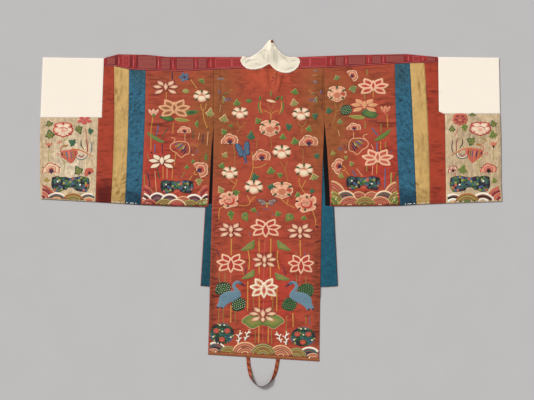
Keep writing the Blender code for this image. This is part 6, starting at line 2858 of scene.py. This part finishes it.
RIGHT_PANEL = Pattern(
    (
        *stems(
            Tone.GOLD, 3.2, (446+382j, 449+350j, 450+329j), (394+477j, 394+445j), (422+278j, 423+238j),
            (408+196j, 407+149j), (276+183j, 287+172j, 282+164j, 274+164j), (287+164j, 302+145j),
        ),
        *stems(
            Tone.PEACH, 2.8, (392+185j, 390+145j), (386+265j, 392+252j, 394+238j), (318+314j, 318+287j),
            (329+172j, 340+158j, 352+141j), (258+320j, 264+296j),
        ),
        *stems(Tone.OCHRE, 3.0, (244+426j, 251+403j, 247+371j, 238+344j), (276+430j, 262+398j, 251+390j)),
        *stems(
            Tone.STEEL, 5.0, (388+329j, 400+312j, 411+299j), (408+274j, 408+236j), (440+175j, 438+92j),
            (312+164j, 327+143j),
        ),
        *stems(
            Tone.OLIVE, 4.0, (370+555j, 370+530j), (361+458j, 361+436j), (363+354j, 362+325j),
            (424+346j, 424+310j), (369+183j, 369+160j), (441+276j, 441+250j),
        ),
        *stems(Tone.MOSS, 6.0, (463+158j, 462+107j)),
        *stems(Tone.DARK_LEAF, 4.6, (488+158j, 480+140j, 477+117j)),
        *stems(Tone.DEEP_ROSE, 3.4, (286+316j, 289+290j), (228+338j, 222+330j)),
    ),
    named_rows(
        Wave,
        (224, 62, 66, CORAL_WAVE), (498, 60, 66, CORAL_WAVE), (338, 52, 32, CORAL_WAVE),
        (388, 52, 32, CORAL_WAVE), (287, 46, 42, BLUE_WAVE), (436, 44, 44, BLUE_WAVE),
        (226, 32, 56, MOSS_WAVE), (500, 32, 56, MOSS_WAVE), (304, 20, 46, CORAL_WAVE),
        (420, 20, 46, CORAL_WAVE), (362, 20, 44, MOSS_WAVE),
    ),
    (
        Motif(Kind.SIDE_PEONY, 317, 532, 46, 42, -52),
        Motif(Kind.OPEN_LOTUS, 394, 488, 112, 60, 0, (Tone.SHELL, Tone.CORAL, Tone.FLOWER_RED)),
        *many(
            Kind.LEAF, (Tone.PALE_LEAF, Tone.LEAF, Tone.PALE_LEAF), (254, 521, 25, 21, 20),
            (316, 478, 30, 30, -160), (266, 352, 22, 20),
        ),
        *many(
            Kind.LEAF, (Tone.OLIVE, Tone.OLIVE, Tone.MOSS), (239, 230, 20, 20, 10), (289, 214, 16, 16, 60),
            (270, 143, 24, 24, -12),
        ),
        Motif(Kind.LEAF, 310, 190, 22, 22, 30, (Tone.MOSS, Tone.LEAF, Tone.SALMON)),
        Motif(Kind.LEAF, 223, 394, 26, 26, 20, DARK), Motif(Kind.LATTICE_LEAF, 290, 397, 48, 42, 8),
        Motif(Kind.LATTICE_LEAF, 380, 382, 66, 34, -18, (Tone.DARK_LEAF, Tone.LEAF, Tone.PALE_LEAF)),
        Motif(Kind.BLADE, 330, 370, 22, 66, 84, (Tone.MOSS, Tone.OLIVE)),
        Motif(Kind.FRONTAL_PEONY, 254, 460, 78, 64),
        Motif(Kind.TULIP, 441, 396, 46, 38, 0, (Tone.PEACH, Tone.CORAL, Tone.CORAL)),
        Motif(Kind.CUP_LOTUS, 360, 414, 104, 56, 0, (Tone.PEACH, Tone.ORANGE_SILK, Tone.CORAL)),
        Motif(Kind.SIDE_PEONY, 320, 332, 54, 36), Motif(Kind.LONG_LEAF, 430, 300, 66, 50),
        Motif(Kind.BIRD, 322, 260, -120, 74),
        Motif(Kind.OPEN_LOTUS, 411, 213, 116, 62, 0, (Tone.SHELL, Tone.FLOWER_RED, Tone.CORAL)),
        Motif(Kind.SIDE_PEONY, 256, 183, 60, 52, 72), Motif(Kind.PATCH, 227, 340, 12, 6, 40, (Tone.SOIL,)),
        *many(Kind.PATCH, (Tone.STEEL,), (462, 236, 16, 6, 40), (264, 246, 18, 7, -40)),
        Motif(Kind.ROCK, 355, 116, 128, 52),
        Motif(Kind.TULIP, 359, 98, 32, 34, 0, RED_BUD),
    ),
)

CUFF_FLOWER = (Tone.FLOWER_RED, Tone.BLUSH, Tone.PALE_CREAM, Tone.FLOWER_RED)
LEFT_CUFF = Pattern(
    (
        *stems(
            Tone.MOSS, 2.8, (-855+252j, -856+225j, -857+197j), (-850+230j, -836+240j),
            (-794+290j, -798+276j, -786+290j, -780+302j), (-713+150j, -718+128j),
        ),
        *stems(Tone.OCHRE, 2.6, (-804+262j, -806+248j, -811+236j), (-838+150j, -828+138j)),
        *stems(Tone.CORAL, 2.8, (-716+330j, -711+300j, -708+270j, -704+232j)),
    ),
    named_rows(
        Wave,
        (-892, 46, 66, DARK_WAVE), (-826, 30, 50, TEAL_WAVE), (-702, 28, 50, TEAL_WAVE),
        (-762, 24, 54, OCHRE_WAVE),
    ),
    (
        Motif(Kind.STAR_FLOWER, -718, 357, 62, 34, 180, (Tone.CORAL, Tone.ROSE, Tone.CORAL)),
        Motif(Kind.FRONTAL_PEONY, -800, 322, 84, 62, 0, CUFF_FLOWER),
        *many(
            Kind.LEAF, DARK_EDGED, (-854, 344, 28, 24, 20), (-851, 303, 36, 36, 12),
            (-739, 322, 28, 36, 200), (-742, 164, 34, 38, 30),
        ),
        *many(Kind.LEAF, DARK, (-695, 316, 28, 22, -80), (-765, 272, 30, 30, 60)),
        Motif(Kind.LEAF, -864, 128, 22, 18, 0, (Tone.OCHRE, Tone.MOSS, Tone.OCHRE)),
        Motif(Kind.TULIP, -855, 261, 28, 24, 0, (Tone.CORAL, Tone.SALMON, Tone.PURPLE)),
        Motif(Kind.STAR_FLOWER, -813, 274, 24, 16, 30, (Tone.CORAL, Tone.BLUSH, Tone.MOSS)),
        Motif(Kind.PHOENIX, -750, 232, 130, 108),
        Motif(Kind.SIDE_PEONY, -846, 172, 66, 54, 0, (Tone.CORAL, Tone.CREAM, Tone.PURPLE)),
        Motif(Kind.SIDE_PEONY, -702, 160, 36, 34, 30, (Tone.CORAL, Tone.CORAL, Tone.NEAR_BLACK)),
        Motif(Kind.ROCK, -772, 112, 144, 60),
    ),
)

RIGHT_CUFF = Pattern(
    (
        *stems(Tone.MOSS, 2.8, (858+246j, 857+222j, 857+200j), (800+300j, 812+288j, 826+282j)),
        *stems(Tone.CORAL, 3.0, (722+340j, 716+318j, 708+298j), (705+158j, 712+140j)),
        *stems(Tone.OCHRE, 2.8, (808+262j, 812+268j, 826+280j), (800+292j, 822+286j, 834+276j)),
    ),
    named_rows(
        Wave,
        (892, 40, 66, DARK_WAVE), (816, 26, 54, WHITE_WAVE), (702, 26, 50, WHITE_WAVE),
        (756, 22, 56, OCHRE_WAVE),
    ),
    (
        Motif(Kind.FRONTAL_PEONY, 728, 362, 64, 50, 0, (Tone.CORAL, Tone.SALMON, Tone.DEEP_ROSE, Tone.CORAL)),
        Motif(
            Kind.FRONTAL_PEONY, 806, 326, 90, 58, 0,
            (Tone.CRIMSON, Tone.BLUSH, Tone.PALE_CREAM, Tone.CRIMSON_PINK),
        ),
        *many(
            Kind.LEAF, DARK_EDGED, (697, 324, 25, 25), (770, 277, 34, 34, 60), (856, 344, 25, 28, 20),
            (775, 379, 28, 14),
        ),
        *many(
            Kind.LEAF, (Tone.OLIVE, Tone.LEAF, Tone.OLIVE), (745, 330, 25, 30, 190), (854, 302, 32, 34, 14),
            (738, 168, 36, 38, -14), (860, 126, 22, 24, 12),
        ),
        Motif(Kind.TULIP, 857, 263, 30, 30, 0, (Tone.CORAL, Tone.SALMON, Tone.NEAR_BLACK)),
        Motif(Kind.PHOENIX, 756, 236, -130, 110, 0, (Tone.CORAL, Tone.PURPLE, Tone.NAVY)),
        Motif(Kind.SIDE_PEONY, 838, 172, 62, 48, 0, (Tone.FLOWER_RED, Tone.BLUSH, Tone.NEAR_BLACK)),
        Motif(Kind.SIDE_PEONY, 699, 170, 36, 32, 20, (Tone.CRIMSON, Tone.PALE_CREAM, Tone.NEAR_BLACK)),
        Motif(Kind.ROCK, 766, 113, -152, 62),
    ),
)


# x and width of the woven cells, with the reach of the wide worn ones
CELLS = ((132, 34), (183, 62), (264, 32), (331, 66), (406, 34), (477, 70), (558, 24), (616, 32))
WORN_FROM, WORN_WIDTH = 230, 30
CELL_FOOT, CELL_HEAD = 7.0, 4.5
BAND_LINES = ((Tone.CRIMSON_PINK, 2.2, 3.2), (Tone.CRIMSON_DARK, 1.4, 5.4))


def band_pattern(side: Side) -> Pattern:
    """The woven cells of the shoulder band, wide and narrow in turn, with lines along its foot.

    Args:
        side: the side of the robe.

    Returns:
        The pattern.
    """
    sign = side.sign
    worn = (Tone.CRIMSON_DARK, Tone.BAND_BROWN, Tone.CRIMSON_DARK)
    bright = (Tone.CRIMSON_PINK, Tone.CRIMSON, Tone.CRIMSON_DARK)
    gaps = [0.5 * (a[0] + b[0] + 0.5 * (a[1] - b[1])) for a, b in zip(CELLS, CELLS[1:])]
    shapes = [
        (Kind.CELL, x, width, worn if x > WORN_FROM and width > WORN_WIDTH else bright)
        for x, width in CELLS
    ]
    shapes += [(Kind.BLADE, x, 7.0, (Tone.CRIMSON_PINK,)) for x in gaps]
    motifs = []
    for kind, x, width, tones in shapes:
        foot, head = BAND_FOOT.y_at(sign * x) + CELL_FOOT, SHOULDER.y_at(sign * x) - CELL_HEAD
        motifs.append(Motif(kind, sign * x, 0.5 * (foot + head), width, head - foot, 0.0, tones))
    end = abs(SEAMS[side]["cover"].x_at(590.0)) - 4.0
    places = np.linspace(100.0, end, 24) * sign
    lines = [
        Stem(tone, width, tuple(complex(x, BAND_FOOT.y_at(x) + lift) for x in places))
        for tone, width, lift in BAND_LINES
    ]
    return Pattern(tuple(lines), (), tuple(motifs))


STITCH_FOOT, STITCH_TOP = 46.0, 556.0
STITCH_PITCH, STITCH_LENGTH, STITCH_INSET = 8.5, 4.6, 3.4
FRAYS, FRAY_PITCH = 4, 11.5


def strip_pattern(side: Side, seam: str, tone: Tone) -> Pattern:
    """Running stitches beside a strip's outer seam, and a worn white edge at its foot.

    Args:
        side: the side of the robe.
        seam: the name of the strip's outer seam.
        tone: the thread's tone.

    Returns:
        The pattern.
    """
    line, sign = SEAMS[side][seam], side.sign
    lines = []
    for number, y in enumerate(np.arange(STITCH_FOOT, STITCH_TOP, STITCH_PITCH)):
        x = line.x_at(y) - sign * (STITCH_INSET + 0.6 * math.sin(1.7 * number))
        end = complex(x + 0.3 * math.sin(number), y + STITCH_LENGTH)
        lines.append(Stem(tone, 1.5, (complex(x, y), end)))
    for number in range(FRAYS):
        x = line.x_at(34.0) - sign * (8.0 + FRAY_PITCH * number + 2.0 * math.sin(2.1 * number))
        reach, foot = 3.6 + 1.6 * math.sin(3.7 * number), SLEEVE_HEM.y_at(x) + 3.4
        fray = (complex(x - reach, foot), complex(x, foot + 1.8), complex(x + reach, foot + 0.6))
        lines.append(Stem(Tone.SOFT_WHITE, 2.2, fray))
    return Pattern(tuple(lines))


def patterns(side: Side) -> dict[str, Pattern]:
    """What is stitched on each strip of a sleeve.

    Args:
        side: the side of the robe.

    Returns:
        The pattern of each strip, by its name.
    """
    panel, cuff = {Side.LEFT: (LEFT_PANEL, LEFT_CUFF), Side.RIGHT: (RIGHT_PANEL, RIGHT_CUFF)}[side]
    return {
        "panel": panel, "cuff": cuff,
        "blue_strip": strip_pattern(side, "yellow", Tone.BLUE_SHADE),
        "yellow_strip": strip_pattern(side, "red", Tone.YELLOW_SHADE),
    }


RED_WASHES = named_rows(
    Wash,
    (-10, 520, 150, 60, Tone.BRIGHT_RED, 0.6), (-235, 400, 170, 420, Tone.FADED_RED, 0.85),
    (215, 400, 160, 420, Tone.FADED_RED, 0.85), (-20, 120, 150, 180, Tone.RED_SILK, 0.5),
    (0, -300, 190, 300, Tone.LOW_RED, 0.7), (-232, -280, 26, 340, Tone.WORN_RED, 0.75, True),
    (186, -280, 40, 340, Tone.WORN_RED, 0.75, True), (10, 545, 30, 40, Tone.ORANGE, 0.25),
)
# The narrow dark boxes are painted shade in the band's upright creases
BAND_WASHES = named_rows(
    Wash,
    (-597, 592, 9, 60, Tone.CRIMSON_DARK, 0.8, True),
    (-515, 592, 7, 60, Tone.CRIMSON_DARK, 0.8, True), (-541, 592, 6, 60, Tone.CRIMSON_DARK, 0.5, True),
    (552, 592, 7, 60, Tone.CRIMSON_DARK, 0.8, True), (-300, 606, 420, 8, Tone.BAND_BROWN, 0.5),
    (330, 606, 420, 8, Tone.BAND_BROWN, 0.5),
)
BINDING_DYE = Dye(Tone.BINDING_ORANGE)


def binding_dye(x: Numbers, y: Numbers, u: Numbers, w: Numbers) -> Numbers:
    """Orange-brown binding with a pale upper edge, worn unevenly.

    Args:
        x: places across the robe.
        y: places up the robe.
        u: places across the piece.
        w: places along the piece.

    Returns:
        The colour at each place.
    """
    tones = BINDING_DYE(x, y, u, w)
    worn = 0.5 + 0.5 * np.sin(x / 19.0) * np.sin(x / 7.3 + 1.0)
    tones = mix(tones, Tone.BINDING_PALE.linear, smooth(0.55, 0.95, w) * (0.35 + 0.5 * worn))
    return mix(tones, Tone.TAPE_RED.linear, 0.35 * smooth(0.3, 0.0, w))


def sleeve_dyes(side: Side) -> dict[str, Dye]:
    """The dyes of a sleeve's strips, with the fading and the dark feet of this side, the feet painted shade
    where the hem rolls under.

    Args:
        side: the side of the robe.

    Returns:
        The dye of each strip.
    """
    s = side.sign
    red_foot = 0.95 if side is Side.LEFT else 0.15
    # The washes at the strips' feet are painted shade where the hem rolls under
    return {
        "panel": Dye(Tone.RED_SILK, named_rows(
            Wash,
            (s * 225, 350, 130, 330, Tone.FADED_RED, 0.85),
            (s * 370, 500, 150, 70, Tone.FADED_RED, 0.35),
            (s * 430, 190, 100, 160, Tone.LOW_RED, 0.8),
            (s * 470, 30, 60, 60, Tone.SOIL, 0.45),
            (s * 370, 20, 150, 16, Tone.SOIL, 0.5, True),
        )),
        "blue_strip": Dye(Tone.BLUE_SILK, named_rows(
            Wash,
            (s * 500, 560, 60, 110, Tone.BLUE_TOP, 0.8),
            (s * 525, 40, 60, 70, Tone.BLUE_FOOT, 0.9, True),
        ), Tone.BLUE_SHADE),
        "yellow_strip": Dye(Tone.YELLOW_SILK, named_rows(
            Wash,
            (s * 585, 40, 60, 60, Tone.YELLOW_SHADE, 0.45, True),
            (s * 605, 300, 10, 300, Tone.YELLOW_SHADE, 0.3, True),
        ), Tone.YELLOW_SHADE),
        "red_strip": Dye(Tone.STRIP_RED, named_rows(
            Wash,
            (s * 640, 60, 60, 90, Tone.STRIP_FOOT, red_foot, True),
            (s * 640, 30, 60, 26, Tone.STRIP_FOOT, 0.6 * red_foot, True),
        )),
        "cuff": Dye(Tone.CUFF_SILK, named_rows(
            Wash,
            (s * 775, 210, 90, 130, Tone.CUFF_PALE, 0.85 if side is Side.LEFT else 0.0),
            (s * 780, 200, 200, 300, Tone.CUFF_SHADE, 0.0 if side is Side.LEFT else 0.4),
            (s * 884, 200, 14, 260, Tone.CUFF_SHADE, 0.35, True),
            (s * 780, 40, 120, 20, Tone.CUFF_SHADE, 0.4, True),
        ), Tone.CUFF_SHADE),
    }


def main() -> None:
    """Builds the robe piece by piece, then the studio round it."""
    logging.basicConfig(level=logging.INFO, format="%(name)s: %(message)s")
    covers = {Side.LEFT: (367.0, 0.0), Side.RIGHT: (382.0, 20.0)}
    linings = {Side.LEFT: (Tone.TEAL, 37.0, 332.0), Side.RIGHT: (Tone.TEAL_BRIGHT, 29.0, 351.0)}
    neck = Dye(Tone.STRIP_RED)
    for side in Side:
        sleeve = Sleeve(side, *covers[side])
        flowers = {}
        for strip, pattern in patterns(side).items():
            sewing = Embroidery(f"{strip}_embroidery_{side.value}", LAY.top, within=sleeve.holds(strip))
            flowers[strip] = [sewing.make(pattern)]
        sleeve.make(sleeve_dyes(side), flowers)
        CuffCover(side).make(sleeve, Dye(Tone.COVER_WHITE, (), Tone.COVER_SHADE))
        cells = Embroidery(
            f"band_cells_{side.value}", lambda x, y: LAY.top(x, y) + BAND_WALL,
            sunk=-0.1, padding=0.14, step=0.1,
        )
        band_dye = Dye(Tone.CRIMSON, BAND_WASHES, Tone.CRIMSON_DARK)
        ShoulderBand(side).make(band_dye, [cells.make(band_pattern(side))])
        tone, foot, apex = linings[side]
        # The slit facings' near-black dye is partly painted shadow in the slits
        Fronts(side, foot, apex).make(
            Dye(Tone.RED_SILK), neck, Dye(tone, (), Tone.TEAL_SHADE), Dye(Tone.NEAR_BLACK)
        )
    back = BackPanel()
    flowers = Embroidery("back_embroidery", LAY.top, within=back.holds).make(CENTRE)
    back.make(Dye(Tone.RED_SILK, RED_WASHES), binding_dye, [flowers])
    Collar().make(neck)
    HemLoop().make()
    Studio().make()


if __name__ == "__main__":
    main()
